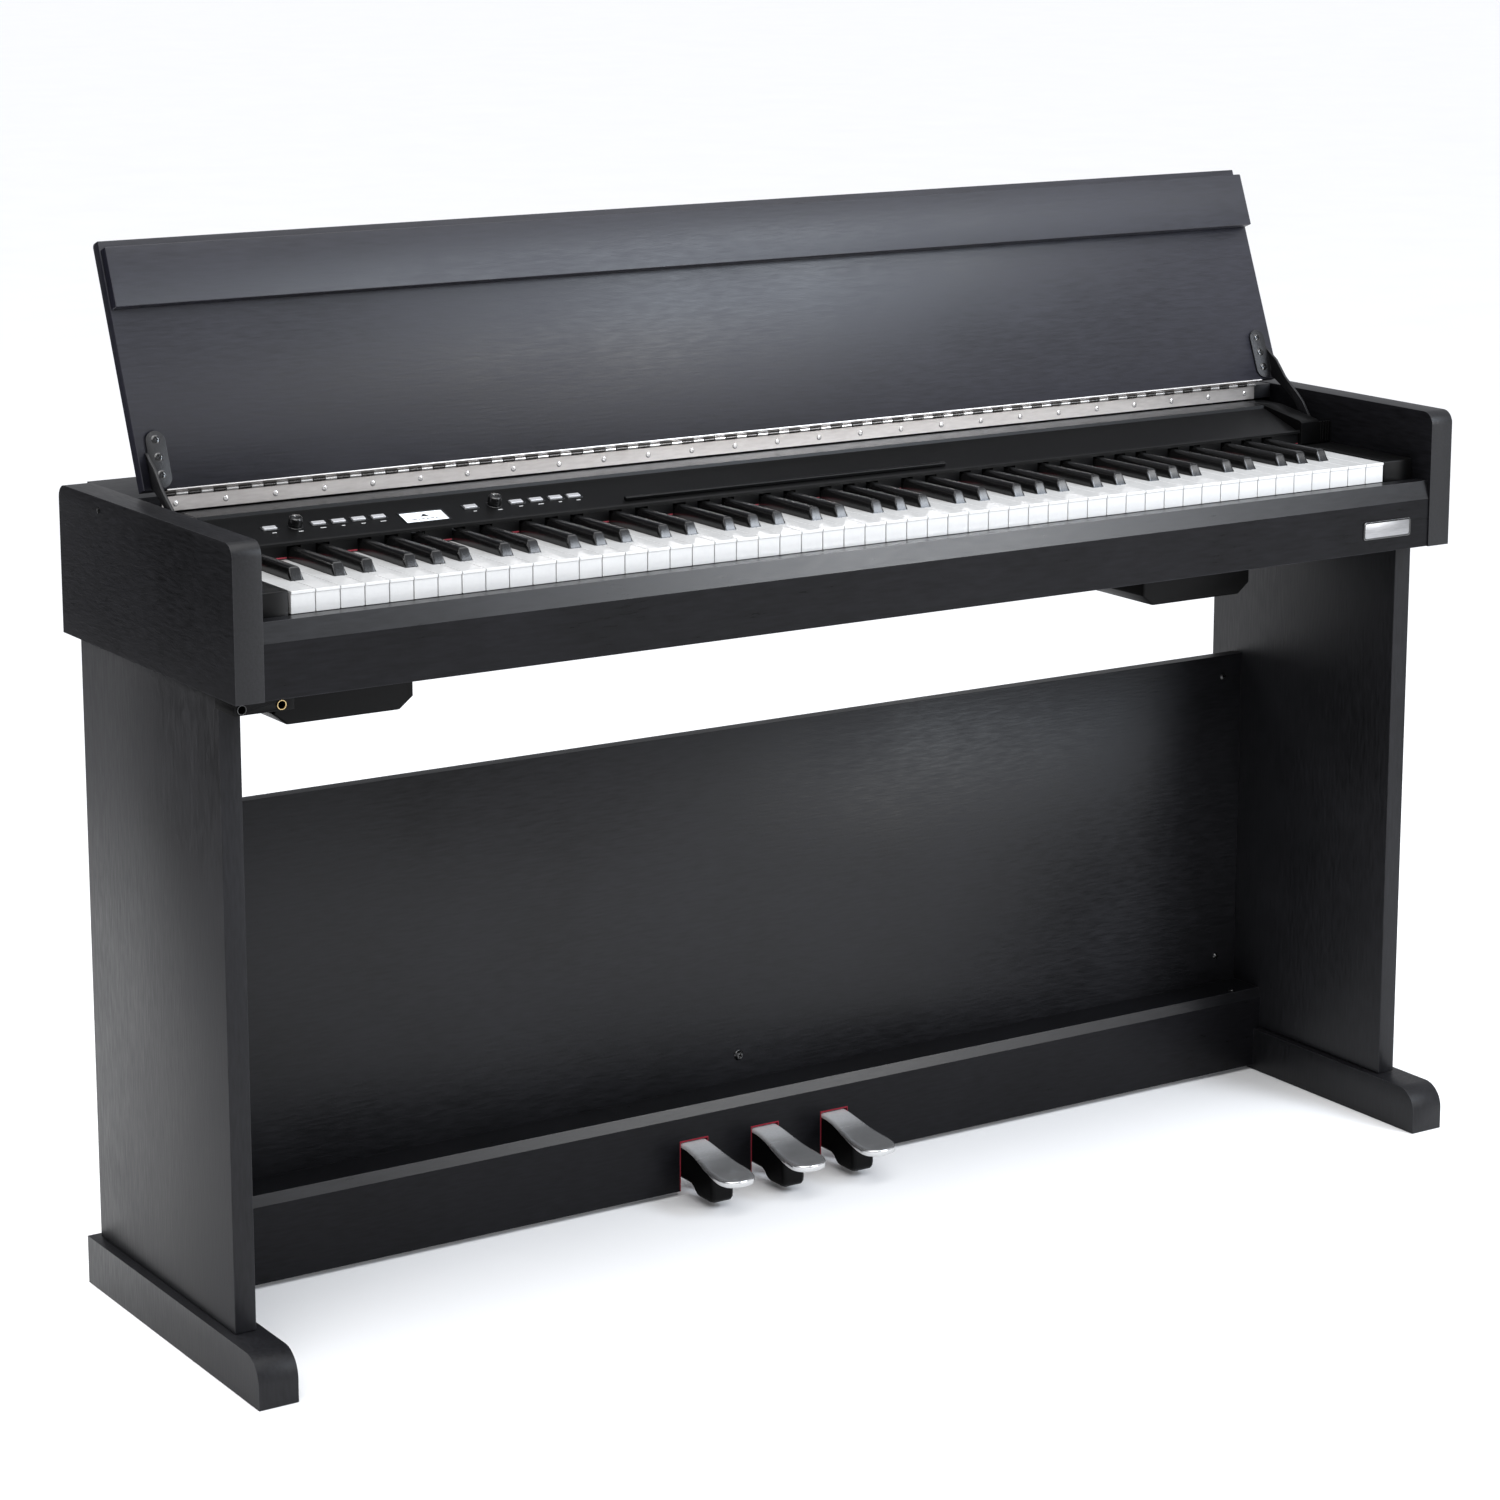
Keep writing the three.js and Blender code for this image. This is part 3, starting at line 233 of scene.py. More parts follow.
# In these looks the edge lightening is rubbed wear and also a painted edge highlight; the side and
# bevel shine are painted shade and painted highlight.
LOOKS = {
    "laminate": surface(
        "black_ash_laminate", grey(0.0045, 0.12), grey(0.0125, 0.16), (0.36, 0.52), 380, 0.5,
        stretch=(0.14, 1, 1), depth=0.00025, wear_and_edge_highlight=grey(0.05, 0.1), Specular_IOR_Level=0.25),
    # Painted shade: a darker copy of the laminate for the body's side boards.
    "shaded_side_laminate": surface(
        "shaded_side_board_laminate", grey(0.0035, 0.12), grey(0.0105, 0.16), (0.36, 0.52), 380, 0.5,
        stretch=(1, 0.14, 1), depth=0.00025, wear_and_edge_highlight=grey(0.05, 0.1), painted_side_shine=0.04,
        Specular_IOR_Level=0.28),
    "stand_laminate": surface(
        "stand_board_laminate", grey(0.0045, 0.12), grey(0.0125, 0.16), (0.36, 0.52), 380, 0.5,
        stretch=(1, 1, 0.14), depth=0.00025, wear_and_edge_highlight=grey(0.05, 0.1), painted_side_shine=0.26,
        Specular_IOR_Level=0.18),
    # Painted highlight on the upward bevels of the key slip and the pedal beam.
    "slip_laminate": surface(
        "slip_laminate", grey(0.0035, 0.12), grey(0.008, 0.2), (0.27, 0.33), 380, 0.15,
        stretch=(0.14, 1, 1), depth=0.0002, wear_and_edge_highlight=grey(0.05, 0.1), painted_bevel_shine=0.36,
        Specular_IOR_Level=0.11),
    # Painted sheen: a lighter copy of the laminate with a bluish tint, for the lid and its flap.
    "sheen_tinted_lid_laminate": surface(
        "sheen_tinted_lid_laminate", grey(0.007, 0.5), grey(0.013, 0.55), (0.36, 0.48), 380, 0.4,
        stretch=(0.14, 1, 1), depth=0.00025, wear_and_edge_highlight=grey(0.05, 0.25), painted_side_shine=0.04,
        Specular_IOR_Level=0.46),
    "moulding": surface(
        "textured_black_moulding", grey(0.0022), grey(0.004, 0.05), (0.3, 0.4), 1900, 0.25,
        depth=0.0001, wear_and_edge_highlight=grey(0.02), wear_and_highlight_width=0.0008, painted_side_shine=0.06,
        Specular_IOR_Level=0.16),
    "dull_moulding": surface(
        "dull_black_moulding", grey(0.0016), grey(0.003, 0.05), (0.36, 0.48), 1900, 0.3,
        depth=0.0001, wear_and_edge_highlight=grey(0.014), wear_and_highlight_width=0.0008, painted_side_shine=0.03,
        Specular_IOR_Level=0.1),
    "gloss": surface(
        "polished_black_plastic", grey(0.003), grey(0.005), (0.08, 0.15), 700, 0.04,
        depth=0.0001, cloud=30.0, Coat_Weight=0.4),
    "key_white": surface(
        "white_key_acrylic", (0.66, 0.66, 0.655), (0.70, 0.70, 0.69), (0.14, 0.24), 260, 0.05,
        cloud=40.0, depth=0.0001, wear_and_edge_highlight=(0.9, 0.9, 0.88), wear_and_highlight_width=0.0006, Coat_Weight=0.3),
    "key_black": surface(
        "black_key_resin", grey(0.003), grey(0.006), (0.16, 0.26), 900, 0.12,
        stretch=(1, 0.08, 1), depth=0.0001, wear_and_edge_highlight=grey(0.03), wear_and_highlight_width=0.001),
    "felt": surface(
        "crimson_felt", (0.30, 0.006, 0.022), (0.52, 0.014, 0.05), (0.85, 0.98), 2600, 0.9,
        depth=0.0004, Sheen_Weight=0.4, Sheen_Roughness=0.6),
    "pedal_felt": surface(
        "dark_crimson_felt", (0.18, 0.002, 0.012), (0.30, 0.005, 0.022), (0.85, 0.98), 2600, 0.9,
        depth=0.0004),
    "nickel": surface(
        "satin_nickel", (0.45, 0.42, 0.40), (0.56, 0.53, 0.505), (0.28, 0.36), 500, 0.08,
        stretch=(0.2, 1, 1), depth=0.00004, Metallic=0.55),
    # Painted shade: a dark copy of the hinge nickel, for the lid leaf's knuckles and the pin.
    "shaded_nickel": surface(
        "shaded_knuckle_nickel", (0.07, 0.066, 0.063), (0.11, 0.105, 0.1), (0.22, 0.32), 500, 0.06,
        stretch=(0.3, 1, 1), depth=0.00004, Metallic=1.0),
    # Painted highlight: a bright copy of the hinge nickel, for the body leaf's knuckles and the
    # hinge screws.
    "highlit_nickel": surface(
        "highlit_nickel", (0.66, 0.64, 0.62), (0.78, 0.76, 0.74), (0.2, 0.28), 500, 0.05,
        depth=0.00004, Metallic=0.7),
    "badge": surface(
        "brushed_silver", (0.26, 0.26, 0.265), (0.36, 0.36, 0.365), (0.3, 0.4), 900, 0.1,
        stretch=(0.1, 1, 1), depth=0.00004, Metallic=0.9),
    "chrome": surface(
        "polished_chrome", (0.80, 0.80, 0.81), (0.90, 0.90, 0.91), (0.05, 0.11), 300, 0.02,
        cloud=45.0, depth=0.00005, Metallic=1.0),
    # Painted sheen: this chrome goes non-metallic and pale at the back of the plate.
    "pedal_chrome": surface(
        "pedal_chrome", (0.62, 0.62, 0.62), (0.72, 0.72, 0.72), (0.12, 0.2), 400, 0.03,
        cloud=45.0, depth=0.00004, rear_painted_sheen=True, Metallic=0.85),
    "black_steel": surface(
        "black_coated_steel", grey(0.004, 0.1), grey(0.012, 0.12), (0.3, 0.46), 1100, 0.8,
        depth=0.0003, wear_and_edge_highlight=grey(0.05), wear_and_highlight_width=0.0008, painted_side_shine=0.1,
        Specular_IOR_Level=0.35, Metallic=0.1),
    "screw": surface(
        "black_screw", grey(0.003), grey(0.006), (0.1, 0.18), 900, 0.05, depth=0.00005,
        Coat_Weight=0.4),
    "chassis_steel": surface(
        "galvanised_steel", (0.30, 0.32, 0.33), (0.46, 0.48, 0.5), (0.35, 0.55), 60, 0.1,
        Metallic=0.9),
    "button": surface(
        "silver_button", (0.42, 0.42, 0.43), (0.60, 0.60, 0.61), (0.26, 0.36), 1200, 0.08,
        depth=0.00005, Metallic=0.35),
    "mark": surface(
        "printed_mark", (0.52, 0.52, 0.52), (0.66, 0.66, 0.66), (0.5, 0.6), 2500, 0.1,
        depth=0.00003),
    "display": surface(
        "lit_display", (0.74, 0.78, 0.82), (0.86, 0.89, 0.92), (0.08, 0.14), 500, 0.01,
        cloud=60.0, Emission_Color=(0.86, 0.91, 1.0, 1), Emission_Strength=0.45),
    "brass": surface(
        "brass_ring", (0.55, 0.40, 0.19), (0.72, 0.55, 0.28), (0.2, 0.32), 1500, 0.08,
        depth=0.00004, Metallic=1.0),
    "circuit": surface(
        "green_circuit_board", (0.008, 0.05, 0.02), (0.015, 0.09, 0.035), (0.3, 0.5), 500, 0.1),
}


# ---------- geometry ----------

def prism(points, span, to):
    """A closed outline run between two places. to() turns outline and run into a point."""
    n = len(points)
    verts = [to(u, v, w) for w in span for u, v in points]
    faces = [tuple(range(n)), tuple(range(2 * n - 1, n - 1, -1))]
    faces += [(i, (i + 1) % n, n + (i + 1) % n, n + i) for i in range(n)]
    return verts, faces


def loft(rings, closed=False):
    """A skin over rings of equally many points, with its ends capped unless it closes on itself."""
    n = len(rings[0])
    verts = [p for ring in rings for p in ring]
    last = len(rings) if closed else len(rings) - 1
    faces = []
    for r in range(last):
        a, b = r * n, ((r + 1) % len(rings)) * n
        faces += [(a + i, a + (i + 1) % n, b + (i + 1) % n, b + i) for i in range(n)]
    if not closed:
        faces += [tuple(range(n)), tuple(range(len(verts) - n, len(verts)))]
    return verts, faces


def turned(profile, sides, to, closed=False):
    """A profile of radius and height turned about an axis."""
    rings = []
    for radius, height in profile:
        turns = [2 * math.pi * i / sides for i in range(sides)]
        rings.append([to(radius * math.cos(t), radius * math.sin(t), height) for t in turns])
    return loft(rings, closed)


def box(x, y, z, to):
    """A box between low and high values on each axis."""
    corners = [(x[0], y[0]), (x[1], y[0]), (x[1], y[1]), (x[0], y[1])]
    return prism(corners, z, to)


def joined(parts):
    """Several skins as one."""
    verts, faces = [], []
    for some_verts, some_faces in parts:
        start = len(verts)
        verts += some_verts
        faces += [tuple(start + i for i in face) for face in some_faces]
    return verts, faces


def mesh_of(name, skin, look):
    mesh = bpy.data.meshes.new(name)
    mesh.from_pydata([tuple(v) for v in skin[0]], [], skin[1])
    bm = bmesh.new()
    bm.from_mesh(mesh)
    bmesh.ops.remove_doubles(bm, verts=bm.verts, dist=1e-7)
    bmesh.ops.dissolve_degenerate(bm, edges=bm.edges, dist=1e-7)
    bmesh.ops.recalc_face_normals(bm, faces=bm.faces)
    bm.to_mesh(mesh)
    bm.free()
    mesh.materials.append(LOOKS[look])
    return mesh


def eased(obj, width, segments, angle=35):
    """Rounds the sharp edges of a piece."""
    bevel = obj.modifiers.new("eased_edges", "BEVEL")
    bevel.width = width * MM
    bevel.segments = segments
    bevel.limit_method = "ANGLE"
    bevel.angle_limit = math.radians(angle)
    bevel.harden_normals = True
    bevel.miter_outer = "MITER_ARC"


def placed(name, mesh, body, matrix=None, stands_for=()):
    """Puts a mesh in the scene as one piece that rides on a body."""
    obj = bpy.data.objects.new(name, mesh)
    bpy.context.scene.collection.objects.link(obj)
    if matrix is not None:
        obj.matrix_world = matrix
    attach(obj, body)
    if stands_for:
        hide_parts(*stands_for)
    return obj


def build(name, skin, look, body, edge=0.0, segments=2, angle=35, smooth=True,
          stands_for=()):
    """One new piece, with eased edges where edge is a width."""
    mesh = mesh_of(name, skin, look)
    if smooth:
        mesh.shade_smooth()
        if not edge:
            mesh.set_sharp_from_angle(angle=math.radians(angle))
    obj = placed(name, mesh, body, stands_for=stands_for)
    if edge:
        eased(obj, edge, segments, angle)
    return obj


# ---------- CAD pieces that keep their shape ----------

def finish_cad(name, look, edge=0.0, segments=2, angle=12):
    """Gives a CAD node its material, and eases its sharp edges."""
    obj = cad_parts[name]
    obj.data.materials.clear()
    obj.data.materials.append(LOOKS[look])
    if edge:
        weld = obj.modifiers.new("weld", "WELD")
        weld.merge_threshold = 1e-6
        eased(obj, edge, segments, angle)
        obj.data.shade_smooth()


CAD_FINISHES = {
    "right_side_panel": ("shaded_side_laminate", 1.8, 4), "left_side_panel": ("shaded_side_laminate", 1.8, 4),
    "top_board": ("laminate", 0.8, 2), "rear_board": ("laminate", 0.5, 2),
    "keybed_board": ("laminate", 0.4, 1), "key_slip": ("slip_laminate", 0, 1),
    "left_key_block": ("moulding", 1.6, 3), "right_key_block": ("moulding", 1.6, 3),
    "left_end_cap": ("dull_moulding", 0.8, 2), "right_end_cap": ("dull_moulding", 0.8, 2),
    "control_panel": ("moulding", 0, 1), "music_ledge": ("moulding", 0.9, 3),
    "display_window": ("display", 0, 1),
    "key_chassis": ("chassis_steel", 0, 1), "circuit_board": ("circuit", 0, 1),
    "rear_jack_plate": ("moulding", 0.5, 2), "lid_panel": ("sheen_tinted_lid_laminate", 0.8, 3),
    "hinge_pin": ("shaded_nickel", 0, 1), "lid_flap": ("sheen_tinted_lid_laminate", 1.0, 3),
    "left_lid_stay": ("black_steel", 0.35, 2), "right_lid_stay": ("black_steel", 0.35, 2),
    "left_speaker_box": ("dull_moulding", 3.0, 4), "right_speaker_box": ("dull_moulding", 3.0, 4),
    "left_speaker_driver": ("black_steel", 0, 1), "right_speaker_driver": ("black_steel", 0, 1),
    "headphone_box": ("dull_moulding", 1.0, 3), "left_stand_panel": ("stand_laminate", 1.0, 3),
    "right_stand_panel": ("stand_laminate", 1.0, 3), "left_foot": ("stand_laminate", 1.4, 3),
    "right_foot": ("stand_laminate", 1.4, 3), "back_panel": ("laminate", 0.7, 2),
    "pedal_beam": ("slip_laminate", 0, 1), "badge_plate": ("badge", 0.3, 2),
}
for cad_name, (cad_look, cad_edge, cad_segments) in CAD_FINISHES.items():
    finish_cad(cad_name, cad_look, cad_edge, cad_segments)


# ---------- keyboard ----------

HAS_SHARP_ABOVE = (True, True, False, True, True, True, False)
SLOT = BLACK_WIDTH + 2 * BLACK_CLEAR
TAIL_CDE = (3 * WHITE_PITCH - 2 * SLOT) / 3
TAIL_FGAB = (4 * WHITE_PITCH - 3 * SLOT) / 4


def note_of(index):
    """0 is C, 5 is A, 6 is B; the first white key is an A."""
    return (index + 5) % 7


def white_left(index):
    return (index - WHITE_COUNT / 2) * WHITE_PITCH


def sharp_centre(index):
    """The middle of the black key to the right of a white key."""
    note = note_of(index)
    place, tail = (note, TAIL_CDE) if note < 3 else (note - 3, TAIL_FGAB)
    start = white_left(index) - place * WHITE_PITCH
    return start + (place + 1) * tail + (place + 0.5) * SLOT


def has_sharp(index):
    return 0 <= index < WHITE_COUNT - 1 and HAS_SHARP_ABOVE[note_of(index)]


def white_key(index):
    """A white key: head with an overhanging lip, and a tail between the black keys."""
    left = white_left(index) + WHITE_GAP / 2
    right = white_left(index + 1) - WHITE_GAP / 2
    tail_left = sharp_centre(index - 1) + SLOT / 2 if has_sharp(index - 1) else left
    tail_right = sharp_centre(index) - SLOT / 2 if has_sharp(index) else right
    face = WHITE_FRONT + WHITE_LIP
    plan = [(left, face), (right, face)]
    if tail_right != right:
        plan += [(right, WHITE_HEAD_BACK), (tail_right, WHITE_HEAD_BACK)]
    plan += [(tail_right, WHITE_BACK), (tail_left, WHITE_BACK)]
    if tail_left != left:
        plan += [(tail_left, WHITE_HEAD_BACK), (left, WHITE_HEAD_BACK)]
    n = len(plan)
    verts = [at(x, d, z) for z in (WHITE_UNDER, WHITE_TOP) for x, d in plan]
    verts += [at(x, face, WHITE_LIP_UNDER) for x in (left, right)]
    verts += [at(x, WHITE_FRONT, z) for z in (WHITE_LIP_UNDER, WHITE_TOP) for x in (left, right)]
    step_left, step_right, lip_left, lip_right, tip_left, tip_right = range(2 * n, 2 * n + 6)
    faces = [tuple(range(n)), tuple(range(n, 2 * n))]
    faces += [(i, i + 1, n + i + 1, n + i) for i in range(2, n - 1)]
    faces += [
        (0, 1, step_right, step_left),
        (1, 2, n + 2, n + 1, step_right),
        (n - 1, 0, step_left, n, 2 * n - 1),
        (step_left, step_right, lip_right, lip_left),
        (lip_left, lip_right, tip_right, tip_left),
        (tip_left, tip_right, n + 1, n),
        (step_left, lip_left, tip_left, n),
        (step_right, lip_right, tip_right, n + 1),
    ]
    return verts, faces


# Each station along a black key: depth and height of the crown.
BLACK_NOSE = (
    (68.0, BLACK_UNDER), (68.1, 704.4), (68.5, 705.4), (73.3, 714.5), (73.9, 715.3), (74.8, 715.9),
    (76.2, 716.2), (78.0, 716.3), (150.0, 716.3), (BLACK_BACK, 716.3),
)
BLACK_EAVES = 704.6
BLACK_CROWN = 716.3
BLACK_TAPER = 0.93
BLACK_SHOULDER = 0.985
BLACK_ARCH_STEPS = 12


def black_arch():
    """Half of the cross-section: upright below the eaves, then tapering into a rounded crown."""
    half = BLACK_WIDTH / 2
    shoulder = (half * BLACK_SHOULDER, BLACK_EAVES)
    arch = [(half, BLACK_UNDER), (half, BLACK_EAVES - 0.6), shoulder]
    for k in range(1, BLACK_ARCH_STEPS):
        turn = math.pi / 2 * k / BLACK_ARCH_STEPS
        share = BLACK_TAPER + (BLACK_SHOULDER - BLACK_TAPER) * math.cos(turn)
        arch.append((half * share * math.cos(turn) ** 0.42,
                     BLACK_EAVES + (BLACK_CROWN - BLACK_EAVES) * math.sin(turn) ** 0.85))
    arch.append((half * 0.12, BLACK_CROWN))
    return arch


def black_key(centre):
    """A black key: tapered sides, rounded top edges and a flat sloping nose with an arched top."""
    arch = black_arch()
    rings = []
    for depth, top in BLACK_NOSE:
        side = [(x, min(z, top)) for x, z in arch]
        ring = side + [(-x, z) for x, z in reversed(side)]
        rings.append([at(centre + x, depth, z) for x, z in ring])
    return loft(rings)


def add_felt():
    """Crimson felt between the black keys as a thin strip, with black blocks above it and a black
    bar over them as painted shade where the felt lies in shadow.
    """
    centres = [sharp_centre(i) for i in range(WHITE_COUNT) if has_sharp(i)]
    edges = [-FELT_X] + [c + side * SLOT / 2 for c in centres for side in (-1, 1)] + [FELT_X]
    spans = list(zip(edges[::2], edges[1::2]))
    felt = joined([box((a, b), FELT_Y, (FELT_UNDER, FELT_TOP), at) for a, b in spans])
    build("felt_pads", felt, "felt", "cabinet", edge=0.3, stands_for=["felt_strip"])
    # Painted shade: black blocks above the thin felt between the black keys, and a bar over them.
    shade_post_span = (FELT_TOP + 0.05, SHADE_BLOCK_EAVES)
    shade_blocks = [box((a, b), FELT_Y, shade_post_span, at) for a, b in spans]
    shade_blocks.append(box((-FELT_X, FELT_X), FELT_Y, (SHADE_BLOCK_EAVES + 0.05, SHADE_BLOCK_TOP), at))
    build("felt_shade_blocks", joined(shade_blocks), "moulding", "cabinet")


def add_keys():
    for register, first, last in REGISTERS:
        for i in range(first, last + 1):
            build(f"white_key_{i + 1:02d}", white_key(i), "key_white",
                  f"{register}_white_keys", edge=0.45, segments=3,
                  stands_for=[f"naturals_{register}"])
            if has_sharp(i):
                build(f"black_key_{i + 1:02d}", black_key(sharp_centre(i)), "key_black",
                      f"{register}_black_keys", angle=28,
                      stands_for=[f"sharps_{register}"])


# ---------- screws ----------

def cross(reach, half):
    """The outline of a cross recess."""
    quarter = [(half, reach), (half, half), (reach, half)]
    points = []
    for turn in range(4):
        c, s = round(math.cos(turn * math.pi / 2)), round(math.sin(turn * math.pi / 2))
        points += [(x * c + y * s, y * c - x * s) for x, y in quarter]
    return points


def screw(radius, height, dome):
    """A screw head on its own axis, with a cross recess. dome is how much its crown rises."""
    sides = 28
    rim = [(radius, 0), (radius, height * 0.5), (radius * 0.93, height * 0.8),
           (radius * 0.78, height + dome * 0.5), (radius * 0.6, height + dome)]
    straight = lambda x, y, z: Vector((x, y, z)) * MM
    verts, faces = turned(rim, sides, straight)
    faces.pop()
    start = len(verts) - sides
    recess = cross(radius * 0.5, radius * 0.11)
    top = height + dome
    inner = [straight(x, y, top) for x, y in recess]
    floor = [straight(x * 0.8, y * 0.8, height * 0.35) for x, y in recess]
    outer = verts[start:]
    for triangle in geometry.tessellate_polygon([outer, inner]):
        faces.append(tuple(start + i for i in triangle))
    first = len(verts)
    n = len(recess)
    verts = verts + inner + floor
    faces += [(first + i, first + (i + 1) % n, first + n + (i + 1) % n, first + n + i)
              for i in range(n)]
    faces.append(tuple(range(first + n, first + 2 * n)))
    return verts, faces


def screw_mesh(name, radius, height, dome, look):
    mesh = mesh_of(name, screw(radius, height, dome), look)
    mesh.shade_smooth()
    mesh.set_sharp_from_angle(angle=math.radians(45))
    return mesh


TO_FRONT = Matrix.Rotation(math.radians(90), 4, "X")
TO_REAR = Matrix.Rotation(math.radians(-90), 4, "X")
TO_LEFT = Matrix.Rotation(math.radians(-90), 4, "Y")
TO_RIGHT = Matrix.Rotation(math.radians(90), 4, "Y")
DOWN = Matrix.Rotation(math.radians(180), 4, "X")


def add_screws(name, mesh, body, places, facing):
    """A screw at each place, each turned by its own angle."""
    for i, place in enumerate(places):
        turn = Matrix.Rotation(random.uniform(0, math.pi), 4, "Z")
        matrix = Matrix.Translation(place) @ facing @ turn
        placed(f"{name}_{i + 1:02d}", mesh, body, matrix)


# ---------- hinge ----------

def knuckle_spans(phase):
    """Where every other knuckle starts and ends."""
    long = 2 * HINGE_X / KNUCKLES
    return [(-HINGE_X + i * long + 0.3, -HINGE_X + (i + 1) * long - 0.3)
            for i in range(phase, KNUCKLES, 2)]


def hinge_leaf(side, low, phase, to):
    """A long leaf with a tab up to every other knuckle, behind or in front of the axis."""
    depth = (1.2, 2.2) if side > 0 else (-2.2, -1.2)
    parts = [box((-HINGE_X, HINGE_X), depth, (low, -2.45), to)]
    parts += [box(span, depth, (-2.45, -0.8), to) for span in knuckle_spans(phase)]
    return joined(parts)


def hinge_knuckles(phase, to):
    """The rolled barrels of one leaf."""
    parts = []
    for start, end in knuckle_spans(phase):
        rings = []
        for x, radius in ((start, 1.25), (start, 1.9), (start + 0.3, 2.1), (end - 0.3, 2.1),
                          (end, 1.9), (end, 1.25)):
            turns = [2 * math.pi * (k + 0.5) / 16 for k in range(16)]
            rings.append([to(x, radius * math.cos(t), radius * math.sin(t)) for t in turns])
        parts.append(loft(rings, closed=True))
    return joined(parts)


def add_hinge():
    body_frame = Matrix.Translation(at(0, HINGE_Y, HINGE_Z))
    on_body = lambda x, y, z: body_frame @ (Vector((x, y, z)) * MM)
    # The body leaf's knuckles take a bright copy of the nickel as a painted highlight, and the lid
    # leaf's a dark copy as painted shade.
    for name, body, side, low, phase, to, look in (
            ("body", "cabinet", 1, -15.5, 1, on_body, "highlit_nickel"),
            ("lid", "lid", -1, -12.8, 0, on_lid, "shaded_nickel")):
        build(f"hinge_{name}_leaf_plate", hinge_leaf(side, low, phase, to), "nickel", body,
              stands_for=[f"hinge_{name}_leaf"])
        build(f"hinge_{name}_knuckles", hinge_knuckles(phase, to), look, body,
              angle=30, stands_for=[f"hinge_{name}_leaf"])
    mesh = screw_mesh("hinge_screw", 2.7, 0.4, 0.3, "highlit_nickel")
    count = 26
    run = [-615 + 1230 * i / (count - 1) for i in range(count)]
    add_screws("hinge_screw", mesh, "cabinet",
               [at(x, HINGE_Y + 1.25, HINGE_Z - 9.2) for x in run], TO_FRONT)


# ---------- lid stays ----------

def add_stay_screws():
    """Three low-headed screws on each stay's plate, low enough to pass over the end caps."""
    mesh = screw_mesh("stay_screw", 4.5, 0.3, 0.6, "screw")
    for name, side in (("left", -1), ("right", 1)):
        places = [on_lid(side * STAY_X, y, LID_UNDER - STAY_THICK) for y in STAY_SCREW_Y]
        add_screws(f"{name}_stay_screw", mesh, "lid", places,
                   LID.to_quaternion().to_matrix().to_4x4() @ DOWN)


# ---------- control panel ----------

def block(x, up, wide, tall, out):
    """A box on the sloping panel, given by its centre and half sizes."""
    return box((x - wide, x + wide), (up - tall, up + tall), out, on_slope)


def add_buttons():
    for i, x in enumerate(BUTTON_X):
        cap = block(x, CONTROL_ROW, 6.5, 2.75, (-4.6, 1.6))
        foot = block(x, CONTROL_ROW, 8, 4.25, (-6, -4.65))
        number = f"{i + 1:02d}"
        build(f"button_cap_{number}", joined([cap, foot]), "button", f"button_{number}_cap",
              edge=0.7, segments=3, stands_for=[f"button_{number}"])
        surround = button_surround(x)
        build(f"button_surround_{number}", surround, "gloss", "cabinet", edge=0.2)


def button_surround(x):
    """A thin raised frame round a button."""
    outer, inner = (8.3, 4.6), (7.1, 3.3)
    rings = []
    for wide, tall, out in ((*outer, 0.05), (*outer, 0.5), (*inner, 0.5), (*inner, 0.05)):
        corners = ((-wide, -tall), (wide, -tall), (wide, tall), (-wide, tall))
        rings.append([on_slope(x + u, CONTROL_ROW + v, out) for u, v in corners])
    return loft(rings, closed=True)


FLUTES = 24
FLUTE_DEPTH = 0.28


def knob(x):
    """A knob with a fluted side and a dished top, on its shaft."""
    sides = 4 * FLUTES
    profile = ((3, -6, 0), (3, 0.7, 0), (6.1, 0.7, 0), (6.35, 1.3, 0), (6.3, 2.4, 1), (6.1, 7.6, 1),
               (5.9, 8.2, 0), (5.2, 8.9, 0), (4.5, 9.0, 0), (4.1, 8.7, 0), (0.6, 8.5, 0))
    rings = []
    for radius, height, fluted in profile:
        ring = []
        for k in range(sides):
            turn = 2 * math.pi * k / sides
            cutting = FLUTE_DEPTH * fluted * (0.5 - 0.5 * math.cos(turn * FLUTES))
            reach = radius - cutting
            across, up = reach * math.cos(turn), reach * math.sin(turn)
            ring.append(on_slope(x + across, CONTROL_ROW + up, height))
        rings.append(ring)
    return loft(rings)


def add_knobs():
    for name, x in KNOBS:
        build(f"{name}_knob_fluted", knob(x), "gloss", name, angle=40,
              stands_for=[f"{name}_knob"])
        line = box((x - 0.35, x + 0.35), (CONTROL_ROW + 1.8, CONTROL_ROW + 4.0),
                   (8.45, 8.75), on_slope)
        build(f"{name}_knob_line", line, "mark", name, edge=0.08)
        collar = turned(((7.4, 0.05), (7.4, 0.35), (7.1, 0.55), (6.7, 0.55), (6.7, 0.05)), 48,
                        lambda u, v, w, x=x: on_slope(x + u, CONTROL_ROW + v, w), closed=True)
        build(f"{name}_knob_collar", collar, "gloss", "cabinet")


def mark(name, x, up, wide, tall):
    """A small printed bar on the panel."""
    skin = box((x - wide / 2, x + wide / 2), (up - tall / 2, up + tall / 2), (0.01, 0.07), on_slope)
    build(name, skin, "mark", "cabinet")


def add_marks():
    """Plain dashes and dots in place of printed legends."""
    for i, x in enumerate(BUTTON_X):
        mark(f"button_mark_{i + 1:02d}", x + 1.0, 18.4, (4.2, 5.6, 3.4)[i % 3], 1.0)
    for name, x in KNOBS:
        mark(f"{name}_knob_mark", x + 1.0, 16.2, 4.4, 1.0)


ICON = ((-4.4, 0), (4.4, 0), (3.4, 1.2), (1.6, 3.4), (0.3, 5.2), (-0.9, 4.2), (-2.9, 2.0),
        (-4.0, 0.9))
DASHES = ((-12, 5), (-4.6, 7), (4.5, 8), (12.5, 5))


